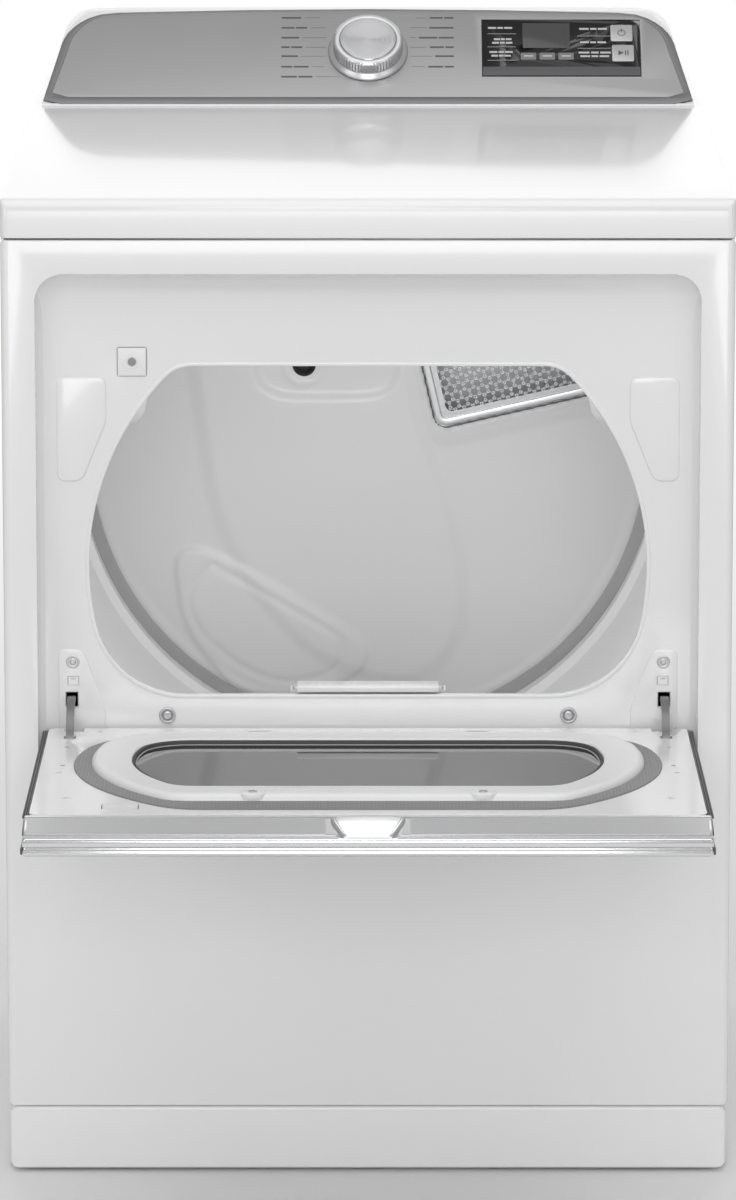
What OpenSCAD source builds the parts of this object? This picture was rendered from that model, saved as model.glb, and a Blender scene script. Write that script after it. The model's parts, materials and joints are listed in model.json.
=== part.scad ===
// Electric clothes dryer with a pull-down door, standing on levelling feet.
// Drawn with the front panel's face at y = 0 and the floor at z = 0, then moved so that the
// origin is at the middle of the footprint with the door open. X is to the right, Y is into
// the cabinet and Z is up. Sizes are in millimetres.

/* [Cabinet] */
// Width across the side panels
cab_w = 737; // [700:1:900]
// Depth from the front panel's face to the rear panel's outside
cab_d = 700; // [660:1:860]
// Height of the joint between the front panel and the top panel
cab_h = 972; // [930:1:1180]
// Thickness of the painted sheet steel
sheet = 1; // [0.8:0.1:1.6]
// Height of the toe panel's upper edge
toe_h = 70; // [60:1:90]
// Gap between the toe panel and the floor
toe_gap = 4; // [3:1:10]
// Height of the base pan's floor
base_z = 18; // [14:1:30]
// Depth of the folded edges of the front panel
pan_fold = 22; // [16:1:30]

/* [Top and console] */
// Height of the top panel's rolled front edge
deck_rise = 40; // [30:1:60]
// Rise of the deck from its front edge to the console
deck_slope = 18; // [8:1:26]
// Radius of the rolled front edge
deck_roll = 12; // [6:1:16]
// How far each side of the deck draws in towards the console
deck_draw = 15; // [4:1:24]
// Distance from the front panel's face to the console's foot
console_y = 512; // [480:1:540]
// Slope length of the console's face
face_len = 141; // [120:1:160]
// Angle of the console's face above the horizontal
face_tilt = 39.2; // [34:0.2:48]
// Width of the console across its foot
console_w = 701; // [640:1:720]
// Radius of the console's upper corners
console_r = 62; // [40:1:80]

/* [Door opening] */
// Distance from the drum's axis down to the opening's lower edge
open_low = 131; // [120:1:140]
// Distance from the drum's axis up to the opening's upper edge
open_high = 204; // [190:1:210]
// Radius of the opening's round sides
open_r = 280; // [260:1:290]
// Radius of the opening's lower corners
open_low_r = 90; // [60:1:100]
// Radius of the opening's upper corners
open_top_r = 35; // [20:1:50]
// Distance from the recess's side to the side of the cabinet
recess_side = 34; // [28:1:50]
// Depth of the recess
recess_d = 27; // [24:1:32]
// Distance from the hinge axis down to the recess's lower edge
recess_low = 23; // [22:1:40]
// Height of the cove along the top of the recess
cove_h = 56; // [40:1:64]
// Distance from the recess's upper edge to the top of the front panel
recess_top = 36; // [30:1:50]

/* [Door] */
// Gap between each side of the door and the recess
door_side = 4; // [3:0.5:8]
// Distance from the drum's axis down to the hinge axis
hinge_low = 179; // [176:1:190]
// Distance of the hinge axis behind the front panel's face
hinge_y = 11; // [10:0.5:12]
// Depth of the door in front of its hinge axis
door_front = 20; // [16:1:24]
// Depth of the door behind its hinge axis
door_back = 13; // [11:0.5:13]
// Gap for the fingers between the closed door and the recess's upper edge
finger_gap = 14; // [8:1:30]
// Length of the handle rail beyond the door's panels
rail_len = 42; // [34:1:44]
// Angle through which the door stands open
door_open = 87.3; // [70:0.1:90]
// Width of the window
glass_w = 466; // [400:1:480]
// Height of the window
glass_h = 236; // [200:1:250]
// Radius of the hinge stays
stay_r = 44; // [42:0.5:46]
// Radius of the hinge pins
hinge_pin_r = 3; // [2.5:0.5:3]

/* [Drum] */
// Outside radius of the drum
drum_r = 326; // [316:1:330]
// Distance from the top of the front panel down to the drum's axis
drum_low = 341; // [336:1:360]
// Distance from the front panel's face to the drum's front rim
drum_y0 = 68; // [66:1:80]
// Room behind the drum for the rear bulkhead and the heater
drum_rear = 84; // [76:1:100]
// Width of the drum's stepped roller track
track_w = 30; // [24:1:40]
// Height of a baffle
baffle_h = 58; // [40:1:70]
// Radius of a support roller
roller_r = 38; // [30:1:42]
// Radius of a roller shaft
roller_shaft_r = 6; // [4:0.5:8]

/* [Air path and drive] */
// Outside radius of the exhaust duct
duct_r = 50.8; // [50:0.1:52]
// Height of the exhaust duct's axis
duct_z = 108; // [100:1:130]
// Length of the exhaust collar behind the rear panel
collar = 32; // [20:1:50]
// Distance of the motor's axis to the left of the middle
motor_x = 150; // [140:1:180]
// Height of the motor's axis
motor_z = 150; // [140:1:160]
// Radius of the motor housing
motor_r = 62; // [50:1:66]
// Radius of the motor shaft
shaft_r = 6; // [5:0.5:8]
// Radius of the belt pulley on the motor shaft
pulley_r = 15; // [12:1:20]
// Radius of the blower wheel
wheel_r = 84; // [70:1:86]
// Radius of the idler pulley
idler_r = 30; // [26:1:34]
// Belt thickness
belt_t = 2.5; // [2:0.5:3]
// Radius of the cord inlet
cord_r = 11; // [9:0.5:14]

/* [Controls] */
// Radius of the knob's grip
knob_r = 38; // [32:1:40]
// Height of the knob above the console's face
knob_h = 21; // [16:1:26]
// Radius of the knob's flared foot
knob_foot_r = 43; // [40:1:46]
// Travel of the power key and the start key
key_travel = 1.5; // [1:0.1:2]
// Adjustment of a levelling foot
foot_travel = 20; // [10:1:25]

/* [Hidden] */
$fn = 96;
running = 0.05;      // radial clearance of a running fit
gap = 0.4;           // clearance between pieces of different bodies
seam = 1.5;          // visible joint between neighbouring panels
tiny = 0.01;

half_w = cab_w / 2;
drum_z = cab_h - drum_low;                // height of the drum's axis
open_z0 = drum_z - open_low;
open_z1 = drum_z + open_high;
hinge_z = drum_z - hinge_low;
recess_w = cab_w - 2 * recess_side;
recess_z0 = hinge_z - recess_low;
recess_z1 = cab_h - recess_top;
door_w = recess_w - 2 * door_side;
door_len = recess_z1 - finger_gap - rail_len - hinge_z;
floor_y = recess_d;                       // face of the recess's floor
drum_y1 = cab_d - drum_rear;              // drum's rear rim
track_r = drum_r - 8;                     // outside of the roller track
rim_r = drum_r - 22;                      // inside of the drum's front rim
bulkhead_y = drum_y1 + 7;                 // front face of the rear bulkhead
front_bulk_y = floor_y + 9;               // front face of the front bulkhead
belt_y = drum_y0 + 0.62 * (drum_y1 - drum_y0);
opening_z = drum_z;                       // centre of the opening's round sides
console_foot = console_w / 2;
tilt_y = cos(face_tilt);
tilt_z = sin(face_tilt);
deck_z = cab_h + deck_rise;               // deck at its front edge
console_z = deck_z + deck_slope;          // deck at the console's foot
console_back = cab_d - 12;
window_z = (open_z0 + open_z1) / 2;        // middle of the window
window_drop = 24.5;                        // centre of the window's round sides below its middle
rail_end = door_len + rail_len;
latch_x = -238;
latch_z = hinge_z + 390;
stay_x = 301;
pin_x = [292, 306];
screen_w = 150;
screen_y = [44, 58];
screen_h = open_z0 - motor_z - 64;
blower_y = [screen_y[1] + 3, screen_y[1] + 94];
motor_y = [200, 350];
shaft_y1 = belt_y + 18;
foot_x = half_w - 40;
foot_y = [52, cab_d - 60];

// Handle rail in section, as distance from the hinge axis and depth behind it
rail_outline = [
    [door_len + 0.5, door_back - 1.5], [door_len + 4, door_back], [door_len + 7, door_back - 1],
    [rail_end - 3, 2], [rail_end - 0.5, 0.5], [rail_end - 0.5, -0.6], [rail_end - 2, -1.4],
    [rail_end - 0.6, -2.6], [rail_end, -5.4], [rail_end - 0.6, -8.8], [rail_end - 3, -10.6],
    [rail_end - 3, -12.4], [rail_end - 0.8, -14], [rail_end - 0.3, -17],
    [rail_end - 2.5, -door_front + 0.6], [rail_end - 6, -door_front], [door_len + 0.5, -door_front]
];
function reach(q) = q[0] * sin(door_open) - q[1] * cos(door_open);
front_y = hinge_y - max([for (q = rail_outline) reach(q)]);
back_y = cab_d + collar;
mid_y = (front_y + back_y) / 2;

// ---- Placing and extruding ----

// Moves the cabinet so that the origin is at the middle of the footprint
module standing() { translate([0, -mid_y, 0]) children(); }

// Extrudes an outline drawn in Y and Z along X
module along_x(x0, x1) {
    translate([x0, 0, 0]) rotate([90, 0, 90]) linear_extrude(x1 - x0) children();
}

// Extrudes an outline drawn in X and Z along Y
module along_y(y0, y1) {
    translate([0, y1, 0]) rotate([90, 0, 0]) linear_extrude(y1 - y0) children();
}

module block(lo, hi) { translate(lo) cube(hi - lo); }

module rod_y(x, z, r, y0, y1) { translate([x, y0, z]) rotate([-90, 0, 0]) cylinder(r = r, h = y1 - y0); }

module rod_x(y, z, r, x0, x1) { translate([x0, y, z]) rotate([0, 90, 0]) cylinder(r = r, h = x1 - x0); }

module tube_y(x, z, r, wall, y0, y1) {
    difference() {
        rod_y(x, z, r, y0, y1);
        rod_y(x, z, r - wall, y0 - 1, y1 + 1);
    }
}

// Places what is drawn for the left side on both sides
module both_sides() {
    children();
    mirror([1, 0, 0]) children();
}

// Turns a closed door about its hinge axis to where it stands open
module opened() {
    translate([0, hinge_y, hinge_z]) rotate([door_open, 0, 0]) translate([0, -hinge_y, -hinge_z])
        children();
}

// Console face: X to the right, Y up the slope and Z out of the face
module on_face(u = 0, v = 0, w = 0) {
    translate([0, console_y, console_z]) rotate([face_tilt, 0, 0]) translate([u, v, w]) children();
}

// ---- Outlines ----

module rounded(w, h, r) {
    square([w - 2 * r, h], center = true);
    square([w, h - 2 * r], center = true);
    for (sx = [-1, 1], sy = [-1, 1]) translate([sx * (w / 2 - r), sy * (h / 2 - r)]) circle(r);
}

module stadium(w, h) {
    square([w - h, h], center = true);
    for (s = [-1, 1]) translate([s * (w - h) / 2, 0]) circle(h / 2);
}

// Door opening: round sides, flat top and bottom, grown by g all round
low_cz = open_z0 + open_low_r - opening_z;
low_cx = sqrt(pow(open_r - open_low_r, 2) - pow(low_cz, 2));
top_cz = open_z1 - open_top_r - opening_z;
top_cx = sqrt(pow(open_r - open_top_r, 2) - pow(top_cz, 2));
far = 1.5;
function ray(p) = p * far * open_r / norm(p);

module opening(g = 0) {
    low = [low_cx, low_cz];
    top = [top_cx, top_cz];
    right = [[low_cx, open_z0 - g - opening_z], low, ray(low), ray(top), top,
             [top_cx, open_z1 + g - opening_z]];
    left = [for (i = [5:-1:0]) [-right[i][0], right[i][1]]];
    translate([0, opening_z]) intersection() {
        circle(open_r + g);
        union() {
            polygon(concat(right, left));
            for (s = [-1, 1]) {
                translate([s * low_cx, low_cz]) circle(open_low_r + g);
                translate([s * top_cx, top_cz]) circle(open_top_r + g);
            }
        }
    }
}

// Outline with round sides of radius r about the origin, flat at z0 and z1, with corners of
// radii low_r and top_r
module eye(r, z0, z1, low_r, top_r) {
    low = [sqrt((r - low_r) * (r - low_r) - (z0 + low_r) * (z0 + low_r)), z0 + low_r];
    top = [sqrt((r - top_r) * (r - top_r) - (z1 - top_r) * (z1 - top_r)), z1 - top_r];
    low_far = low * far * r / norm(low);
    top_far = top * far * r / norm(top);
    right = [[low[0], z0], low, low_far, top_far, top, [top[0], z1]];
    left = [for (i = [5:-1:0]) [-right[i][0], right[i][1]]];
    intersection() {
        circle(r);
        union() {
            polygon(concat(right, left));
            for (s = [-1, 1]) {
                translate([s * low[0], low[1]]) circle(low_r);
                translate([s * top[0], top[1]]) circle(top_r);
            }
        }
    }
}

module window(g = 0) {
    translate([0, window_z - window_drop])
        eye(glass_w / 2 + g, window_drop - glass_h / 2 - g, window_drop + glass_h / 2 + g, 50 + g, 30 + g);
}

// Outer edge of the door's felt, longer than the opening's edge above and below
module felt_edge(g = 0) {
    translate([0, opening_z]) eye(open_r + 11 + g, -149 - g, 226 + g, 105 + g, 60 + g);
}

// ---- Cabinet ----

// Recess in the front panel, grown by g behind its walls: a cove at the top, sloping walls
module recess(g = 0) {
    bend = 7;
    height = recess_z1 - recess_z0;
    intersection() {
        along_x(-recess_w / 2 - g, recess_w / 2 + g) polygon(concat(
            [[-5, recess_z0 - g], [floor_y - bend, recess_z0 - g], [floor_y + g, recess_z0 + bend]],
            [[floor_y + g, recess_z1 - cove_h]],
            [for (a = [15:15:90])
                [(floor_y + g) * cos(a), recess_z1 - cove_h + (cove_h + g) * sin(a)]],
            [[-5, recess_z1 + g]]
        ));
        translate([0, 0, recess_z0 - 20]) linear_extrude(recess_z1 - recess_z0 + 40) polygon([
            [-recess_w / 2 - g, -6], [recess_w / 2 + g, -6], [recess_w / 2 + g, floor_y - bend],
            [recess_w / 2 - bend, floor_y + g], [-recess_w / 2 + bend, floor_y + g],
            [-recess_w / 2 - g, floor_y - bend]
        ]);
        along_y(-6, floor_y + 5) {
            translate([0, (recess_z0 + recess_z1) / 2])
                rounded(recess_w + 2 * g, height + 2 * g, 28 + g);
            translate([0, recess_z0 + height / 4]) rounded(recess_w + 2 * g, height / 2 + 2 * g, 6 + g);
        }
    }
}

stay_slot_z = [hinge_z + 33, hinge_z + 48];

module front_panel() {
    edge = 8;
    z0 = toe_h + seam;
    z1 = cab_h - seam;
    mid_z = (z0 + z1) / 2;
    color("white") difference() {
        union() {
            difference() {
                intersection() {
                    along_y(0, pan_fold) translate([0, mid_z]) rounded(cab_w, z1 - z0, 5);
                    translate([0, 0, z0]) linear_extrude(z1 - z0)
                        translate([0, edge + 40]) rounded(cab_w, 2 * edge + 80, edge);
                }
                intersection() {
                    along_y(sheet, pan_fold + 1) translate([0, mid_z])
                        rounded(cab_w - 2 * sheet, z1 - z0 - 2 * sheet, 4);
                    translate([0, 0, z0]) linear_extrude(z1 - z0) translate([0, edge + 40])
                        rounded(cab_w - 2 * sheet, 2 * edge + 80 - 2 * sheet, edge - sheet);
                }
            }
            difference() {
                recess(sheet);
                block([-half_w, -20, 0], [half_w, 0, cab_h]);
            }
            along_y(floor_y, front_bulk_y - seam) difference() {
                opening(3 + sheet);
                opening(3);
            }
        }
        recess();
        along_y(floor_y - 1, floor_y + sheet + 1) opening(3);
        both_sides() translate([-stay_x, 0, 0])
            block([-6, floor_y - 2, stay_slot_z[0]], [6, floor_y + 4, stay_slot_z[1]]);
        translate([latch_x, 0, latch_z]) block([-12, floor_y - 2, -12], [12, floor_y + 4, 12]);
    }
}

module toe_panel() {
    w = cab_w - 4;
    color("white") difference() {
        along_y(2, pan_fold) translate([0, (toe_h + toe_gap) / 2]) rounded(w, toe_h - toe_gap, 8);
        along_y(2 + sheet, pan_fold + 1) translate([0, (toe_h + toe_gap) / 2])
            rounded(w - 2 * sheet, toe_h - toe_gap - 2 * sheet, 7);
    }
}

// Right side panel: a flat sheet with edges folded inwards at the front, rear and bottom
module side_panel() {
    y0 = pan_fold + seam;
    y1 = cab_d - sheet;
    z1 = cab_h - seam;
    fold = 18;
    color("white") {
        block([half_w - sheet, y0, toe_gap], [half_w, y1, z1]);
        block([half_w - fold, y0, toe_gap], [half_w - sheet, y0 + sheet, z1]);
        block([half_w - fold, y1 - sheet, toe_gap], [half_w - sheet, y1, z1]);
        block([half_w - fold, y0 + sheet, toe_gap], [half_w - sheet, y1 - sheet, toe_gap + sheet]);
    }
}

module side_panel_right() { side_panel(); }

module side_panel_left() { mirror([1, 0, 0]) side_panel(); }

inlet_x = -230;      // cord inlet, seen from the front
inlet_z = 330;

module rear_panel() {
    w = cab_w - 6;
    color("gainsboro") difference() {
        along_y(cab_d - sheet, cab_d) translate([0, (base_z + cab_h) / 2 - 1])
            rounded(w, cab_h - base_z - 4, 6);
        rod_y(0, duct_z, duct_r + gap, cab_d - 5, cab_d + 5);
        block([inlet_x - 24, cab_d - 5, inlet_z - 40], [inlet_x + 24, cab_d + 5, inlet_z + 40]);
        for (i = [0:9]) translate([half_w - 150, 0, 420 + 34 * i])
            along_y(cab_d - 5, cab_d + 5) stadium(90, 8);
    }
}

module base_pan() {
    fold = 24;
    x = half_w - sheet - 1;
    y0 = pan_fold + seam + sheet + 1;
    y1 = cab_d - 2 * sheet - seam - 1;
    color("lightgray") difference() {
        block([-x, y0, base_z], [x, y1, base_z + fold]);
        block([-x + sheet, y0 + sheet, base_z + sheet], [x - sheet, y1 - sheet, base_z + fold + 1]);
        for (sx = [-1, 1], y = foot_y) translate([sx * foot_x, y, base_z - 1])
            cylinder(r = 5 + gap, h = 5);
    }
    color("lightgray") for (sx = [-1, 1], y = foot_y)
        translate([sx * foot_x, y, base_z + sheet]) difference() {
            cylinder(r = 11, h = 10, $fn = 6);
            translate([0, 0, -1]) cylinder(r = 5 + running, h = 12);
        }
    color("lightgray") {
        rod_y(idler_pivot[0], idler_pivot[1], 5, arm_y - 4, arm_y + arm_t + 4);
        rod_y(idler_pivot[0], idler_pivot[1], 9, arm_y - 8, arm_y - 1);
        block([idler_pivot[0] - 12, arm_y - 11, base_z + sheet],
              [idler_pivot[0] + 12, arm_y - 8, idler_pivot[1] + 10]);
    }
    color("lightgray") for (y = [motor_y[0] + 20, motor_y[1] - 30])
        difference() {
            block([-motor_x - 50, y, base_z + sheet], [-motor_x + 50, y + 4, motor_z - 10]);
            rod_y(-motor_x, motor_z, motor_r, y - 1, y + 5);
        }
}

// Top panel in section, drawn in by t from its outer face
function deck_section(t) = concat(
    [[t, cab_h + seam / 2 - (t > 0 ? 1 : 0)], [t, deck_z - deck_roll]],
    [for (a = [15:15:90]) let (r = deck_roll - t)
        [deck_roll - r * cos(a), deck_z - deck_roll + r * sin(a)]],
    [[console_y, console_z - t], [cab_d - t, console_z + 5 - t],
     [cab_d - t, cab_h + seam / 2 - (t > 0 ? 1 : 0)]]
);

// Top panel from above: a full-width rim, above it sides that draw in towards the console
module deck_plan(t, draw) {
    edge = 9;
    half = half_w - t;
    span = cab_d - 2 * t;
    right = [for (i = [0:8]) let (k = i / 8) [half - draw * pow(k, 1.3), t + k * span]];
    intersection() {
        polygon(concat(right, [for (i = [8:-1:0]) [-right[i][0], right[i][1]]]));
        translate([0, cab_d / 2]) rounded(cab_w - 2 * t, cab_d - 2 * t, edge - t);
    }
}

module deck_solid(t) {
    intersection() {
        along_x(-half_w, half_w) polygon(deck_section(t));
        union() {
            translate([0, 0, cab_h - 5]) linear_extrude(17 - t) deck_plan(t, 0);
            translate([0, 0, cab_h - 5]) linear_extrude(deck_rise + deck_slope + 30)
                deck_plan(t, deck_draw);
        }
    }
}

module top_panel() {
    color("white") difference() {
        deck_solid(0);
        deck_solid(sheet);
        block([-260, console_y + 40, cab_h], [260, console_back - 20, console_z + 20]);
    }
}

// Console from the front: sides that lean in, large upper corners and a slightly crowned top
lean = 17;
function corner_arc(cx, cz, r, a0, a1, n) =
    [for (i = [0:n]) let (a = a0 + (a1 - a0) * i / n) [cx + r * cos(a), cz + r * sin(a)]];

module fascia_outline(g = 0) {
    foot = console_foot - g;
    top = face_len - g;
    r = console_r - g;
    crown = 5;
    cx = console_foot - lean - console_r;
    cv = face_len - crown - console_r;
    right = concat([[foot, g]], corner_arc(cx, cv, r, 8, 82, 9), [[cx * 0.5, top - crown * 0.3]]);
    n = len(right) - 1;
    polygon(concat(right, [[0, top]], [for (i = [n:-1:0]) [-right[i][0], right[i][1]]]));
}

// Console in section, drawn in by t
function housing_section(t) = [
    [console_y + 8 + t, console_z + 5 + t],
    [console_y + 2 + t, console_z + 1.5 + t],
    [console_y + face_len * tilt_y - t * 0.3, console_z + face_len * tilt_z - t - 1.5],
    [console_y + face_len * tilt_y + 20, console_z + face_len * tilt_z - t],
    [console_back - 22 - t, console_z + face_len * tilt_z - 8 - t],
    [console_back - 4 - t, console_z + face_len * tilt_z - 26 - t],
    [console_back - t, console_z + 5.5 + t]
];

module console_solid(t) {
    intersection() {
        along_x(-half_w, half_w) polygon(housing_section(t));
        along_y(console_y - 20, cab_d + 5) translate([0, console_z - 1])
            front_outline(t);
    }
}

// The face's outline seen from the front, where the slope makes it lower
module front_outline(t) {
    crown = 5;
    top = face_len * tilt_z + 4 - t;
    r = console_r * 0.72 - t;
    cx = console_foot - lean - console_r * 0.72;
    cz = face_len * tilt_z + 3 - crown * 0.6 - console_r * 0.72;
    right = concat([[console_foot - t, 0]], corner_arc(cx, cz, r, 8, 82, 9),
                   [[cx * 0.5, top - crown * 0.2]]);
    n = len(right) - 1;
    polygon(concat(right, [[0, top]], [for (i = [n:-1:0]) [-right[i][0], right[i][1]]]));
}

fascia_t = 2;
key_at = [for (i = [0:2]) [173 + 20.3 * i, 69.5]];
small_key = [17, 10];
power_at = [274, 103.5];
start_at = [275, 74];
big_key = [24, 24];
knob_v = 77;

module display_outline() {
    u0 = 123;
    u1 = 294;
    v0 = 41;
    v1 = 124;
    r = 16;
    difference() {
        translate([u0, v0]) square([u1 - u0, v1 - v0]);
        difference() {
            translate([u1 - r, v1 - r]) square(r + 1);
            translate([u1 - r, v1 - r]) circle(r);
        }
    }
}

module key_holes(g) {
    for (p = key_at) translate(p) rounded(small_key[0] + 2 * g, small_key[1] + 2 * g, 1);
    for (p = [power_at, start_at]) translate(p) rounded(big_key[0] + 2 * g, big_key[1] + 2 * g, 2);
}

module console_fascia() {
    color("silver") on_face() difference() {
        linear_extrude(fascia_t) fascia_outline(2);
        translate([0, 0, -1]) linear_extrude(fascia_t + 2) display_outline();
        translate([0, knob_v, -1]) cylinder(r = 9, h = fascia_t + 2);
    }
}

module console_housing() {
    color("whitesmoke") difference() {
        console_solid(0);
        console_solid(2.5);
        on_face() linear_extrude(40) fascia_outline(-20);
        block([-260, console_y + 40, console_z - 5], [260, console_back - 20, console_z + 12]);
        on_face() translate([0, knob_v, -20]) cylinder(r = 10, h = 40);
        on_face() translate([0, 0, -20]) linear_extrude(40) key_holes(1.5);
    }
}

module display_glass() {
    color("black") on_face() difference() {
        linear_extrude(fascia_t + 0.6) display_outline();
        translate([0, 0, -1]) linear_extrude(fascia_t + 4) key_holes(gap);
    }
}

module control_board() {
    color("darkgreen") on_face() difference() {
        translate([80, 36, -16]) cube([225, 92, 1.6]);
        for (x = [90, 295], y = [44, 120]) translate([x, y, -20]) cylinder(r = 2, h = 10);
    }
    color("dimgray") on_face() for (x = [130, 200]) translate([x, 60, -30]) cube([40, 30, 14]);
}

module key(p, size, r, depth) {
    color("silver") on_face(p[0], p[1]) translate([0, 0, -depth]) linear_extrude(depth + 1.6 + fascia_t)
        rounded(size[0], size[1], r);
}

module power_key() { key(power_at, big_key, 2, 8); }
module start_key() { key(start_at, big_key, 2, 8); }
module option_key(i) { key(key_at[i], small_key, 1, 6); }

module cycle_knob() {
    color("silver") on_face(0, knob_v, fascia_t + gap) rotate_extrude() polygon([
        [0, -16], [4, -16], [4, 0], [knob_foot_r, 0], [knob_foot_r, 2], [knob_r + 1, 6],
        [knob_r, 7], [knob_r - 1, knob_h - 3], [knob_r - 3, knob_h - 1], [knob_r - 7, knob_h - 1],
        [knob_r - 8, knob_h], [0, knob_h - 1.5]
    ]);
}

// ---- Bulkheads, air path ----

module front_bulkhead() {
    x = half_w - 22;
    collar_r = rim_r - 5;
    slot = 2;
    color("gainsboro") difference() {
        union() {
            along_y(front_bulk_y, front_bulk_y + sheet) translate([0, drum_z])
                rounded(2 * x, 2 * (drum_r + 6), 40);
            tube_y(0, drum_z, collar_r, 3, front_bulk_y + sheet, drum_y0 + 16);
        }
        along_y(front_bulk_y - 1, front_bulk_y + 2) opening(3 + sheet + gap);
        both_sides() block([-stay_x - 9, front_bulk_y - 1, hinge_z - 40],
                           [-stay_x + 9, front_bulk_y + 3, hinge_z + 52]);
        block([-screen_w / 2 - slot - 2, front_bulk_y - 1, open_z0 - 60],
              [screen_w / 2 + slot + 2, drum_y0 + 30, open_z0 + 20]);
        block([-screen_w / 2 - slot - 2, screen_y[0] - 4, drum_z - drum_r],
              [screen_w / 2 + slot + 2, screen_y[1] + 4, open_z0]);
        translate([latch_x, front_bulk_y, latch_z]) block([-16, -2, -16], [16, 4, 16]);
    }
}

// Lint duct: a flat pocket for the screen, narrowing to the blower's inlet
duct_wall = 2;
module lint_duct() {
    x = screen_w / 2 + 2;
    z_low = motor_z + 60;
    y0 = screen_y[0] - 1;
    y1 = screen_y[1] + 1;
    color("whitesmoke") difference() {
        union() {
            block([-x - duct_wall, y0 - duct_wall, z_low], [x + duct_wall, y1 + duct_wall, open_z0 - 1]);
            along_y(y0 - duct_wall, y1 + duct_wall) polygon([
                [x + duct_wall, z_low + tiny], [-x - duct_wall, z_low + 130],
                [-motor_x - 62, motor_z + 30], [-motor_x - 62, motor_z - 62], [-motor_x + 62, motor_z - 62]
            ]);
        }
        block([-x, y0, z_low + duct_wall], [x, y1, open_z0 + 1]);
        along_y(y0, y1) polygon([
            [x, z_low + duct_wall + 1], [-x, z_low + 126],
            [-motor_x - 60, motor_z + 29], [-motor_x - 60, motor_z - 60], [-motor_x + 61, motor_z - 60]
        ]);
        rod_y(-motor_x, motor_z, 50, y1 - 1, y1 + 5);
        block([-x + 6, y1 - 1, z_low + 150], [x - 6, y1 + 5, open_z0 - 20]);
    }
}

module blower_housing() {
    y0 = blower_y[0];
    y1 = blower_y[1];
    r = wheel_r + 18;
    out_x = duct_r + 8;
    color("gainsboro") difference() {
        union() {
            rod_y(-motor_x, motor_z, r, y0, y1);
            block([-motor_x, y0, motor_z - r], [out_x, y1, duct_z + duct_r + 6]);
        }
        rod_y(-motor_x, motor_z, r - 2, y0 + 2, y1 - 2);
        block([-motor_x, y0 + 2, motor_z - r + 2], [out_x - 2, y1 - 2, duct_z + duct_r + 4]);
        rod_y(-motor_x, motor_z, 50, y0 - 1, y0 + 3);
        rod_y(-motor_x, motor_z, shaft_r + 2, y1 - 3, y1 + 1);
        rod_y(0, duct_z, duct_r - 0.8, y1 - 3, y1 + 1);
    }
}

module exhaust_duct() {
    bead = 2;
    color("silver") difference() {
        union() {
            rod_y(0, duct_z, duct_r, blower_y[1], cab_d + collar);
            rod_y(0, duct_z, duct_r + bead, cab_d + gap, cab_d + gap + 3);
        }
        rod_y(0, duct_z, duct_r - 0.8, blower_y[1] - 1, cab_d + collar + 1);
    }
}

grille_at = [150, drum_z + 114];
grille_size = [176, 132];
grille_turn = 13;

module grille_place() { translate(grille_at) rotate(grille_turn) children(); }

module teardrop(g) {
    difference() {
        union() {
            translate([-150, drum_z - 92]) circle(40 + g);
            translate([-110, drum_z - 116]) circle(52 + g);
            translate([-36, drum_z - 128]) circle(26 + g);
            polygon([[-178 - g, drum_z - 116], [-134, drum_z - 55 + g], [-24, drum_z - 105 + g],
                     [-30, drum_z - 153 - g], [-110, drum_z - 168 - g]]);
        }
    }
}

module rear_bulkhead() {
    x = half_w - 22;
    z0 = drum_z - drum_r - 22;
    z1 = cab_h - 8;
    y = bulkhead_y;
    color("white") difference() {
        union() {
            along_y(y, y + sheet) translate([0, (z0 + z1) / 2]) rounded(2 * x, z1 - z0, 20);
            along_y(y - 3, y) teardrop(0);
            along_y(y - 2, y) difference() {
                intersection() {
                    grille_place() rounded(grille_size[0] + 36, grille_size[1] + 36, 26);
                    translate([0, drum_z]) circle(track_r - 18);
                }
                grille_place() rounded(grille_size[0] + 8, grille_size[1] + 8, 14);
            }
            rod_y(-70, drum_z + 96, 24, y - 2, y);
        }
        along_y(y - 1, y + 2) grille_place() rounded(grille_size[0] - 8, grille_size[1] - 8, 8);
        rod_y(-70, drum_z + 96, 13, y - 3, y + 2);
        both_sides() rod_y(-roller_x, roller_z, roller_shaft_r + 2, y - 4, y + 4);
    }
}

module inlet_grille() {
    pitch = 12;
    row = pitch * sin(60);
    cols = floor((grille_size[0] - 20) / pitch);
    rows = floor((grille_size[1] - 20) / row);
    color("silver") along_y(bulkhead_y + sheet, bulkhead_y + 2 * sheet) grille_place() difference() {
        rounded(grille_size[0], grille_size[1], 10);
        for (i = [0:cols - 1], j = [0:rows - 1])
            translate([(i - (cols - 1) / 2 + (j % 2) * 0.5 - 0.25) * pitch, (j - (rows - 1) / 2) * row])
                circle(4.6, $fn = 6);
    }
}

module lamp_lens() {
    color("black") translate([-70, bulkhead_y - 4, drum_z + 96]) rotate([-90, 0, 0]) rotate_extrude()
        polygon([[0, 0], [8, 1], [12.8, 3], [12.8, 4 + sheet], [16, 4 + sheet], [16, 7], [0, 7]]);
}

// ---- Drum and drive ----

module drum_shell() {
    color("whitesmoke") translate([0, drum_y0, drum_z]) rotate([-90, 0, 0]) {
        len = drum_y1 - drum_y0;
        step = len - track_w;
        rotate_extrude($fn = 160) polygon([
            [rim_r, 0], [drum_r, 0], [drum_r, step], [track_r, step + 8], [track_r, len],
            [track_r - sheet, len], [track_r - sheet, step + 7.6], [drum_r - sheet, step - 0.4],
            [drum_r - sheet, sheet], [rim_r, sheet]
        ]);
    }
}

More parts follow.
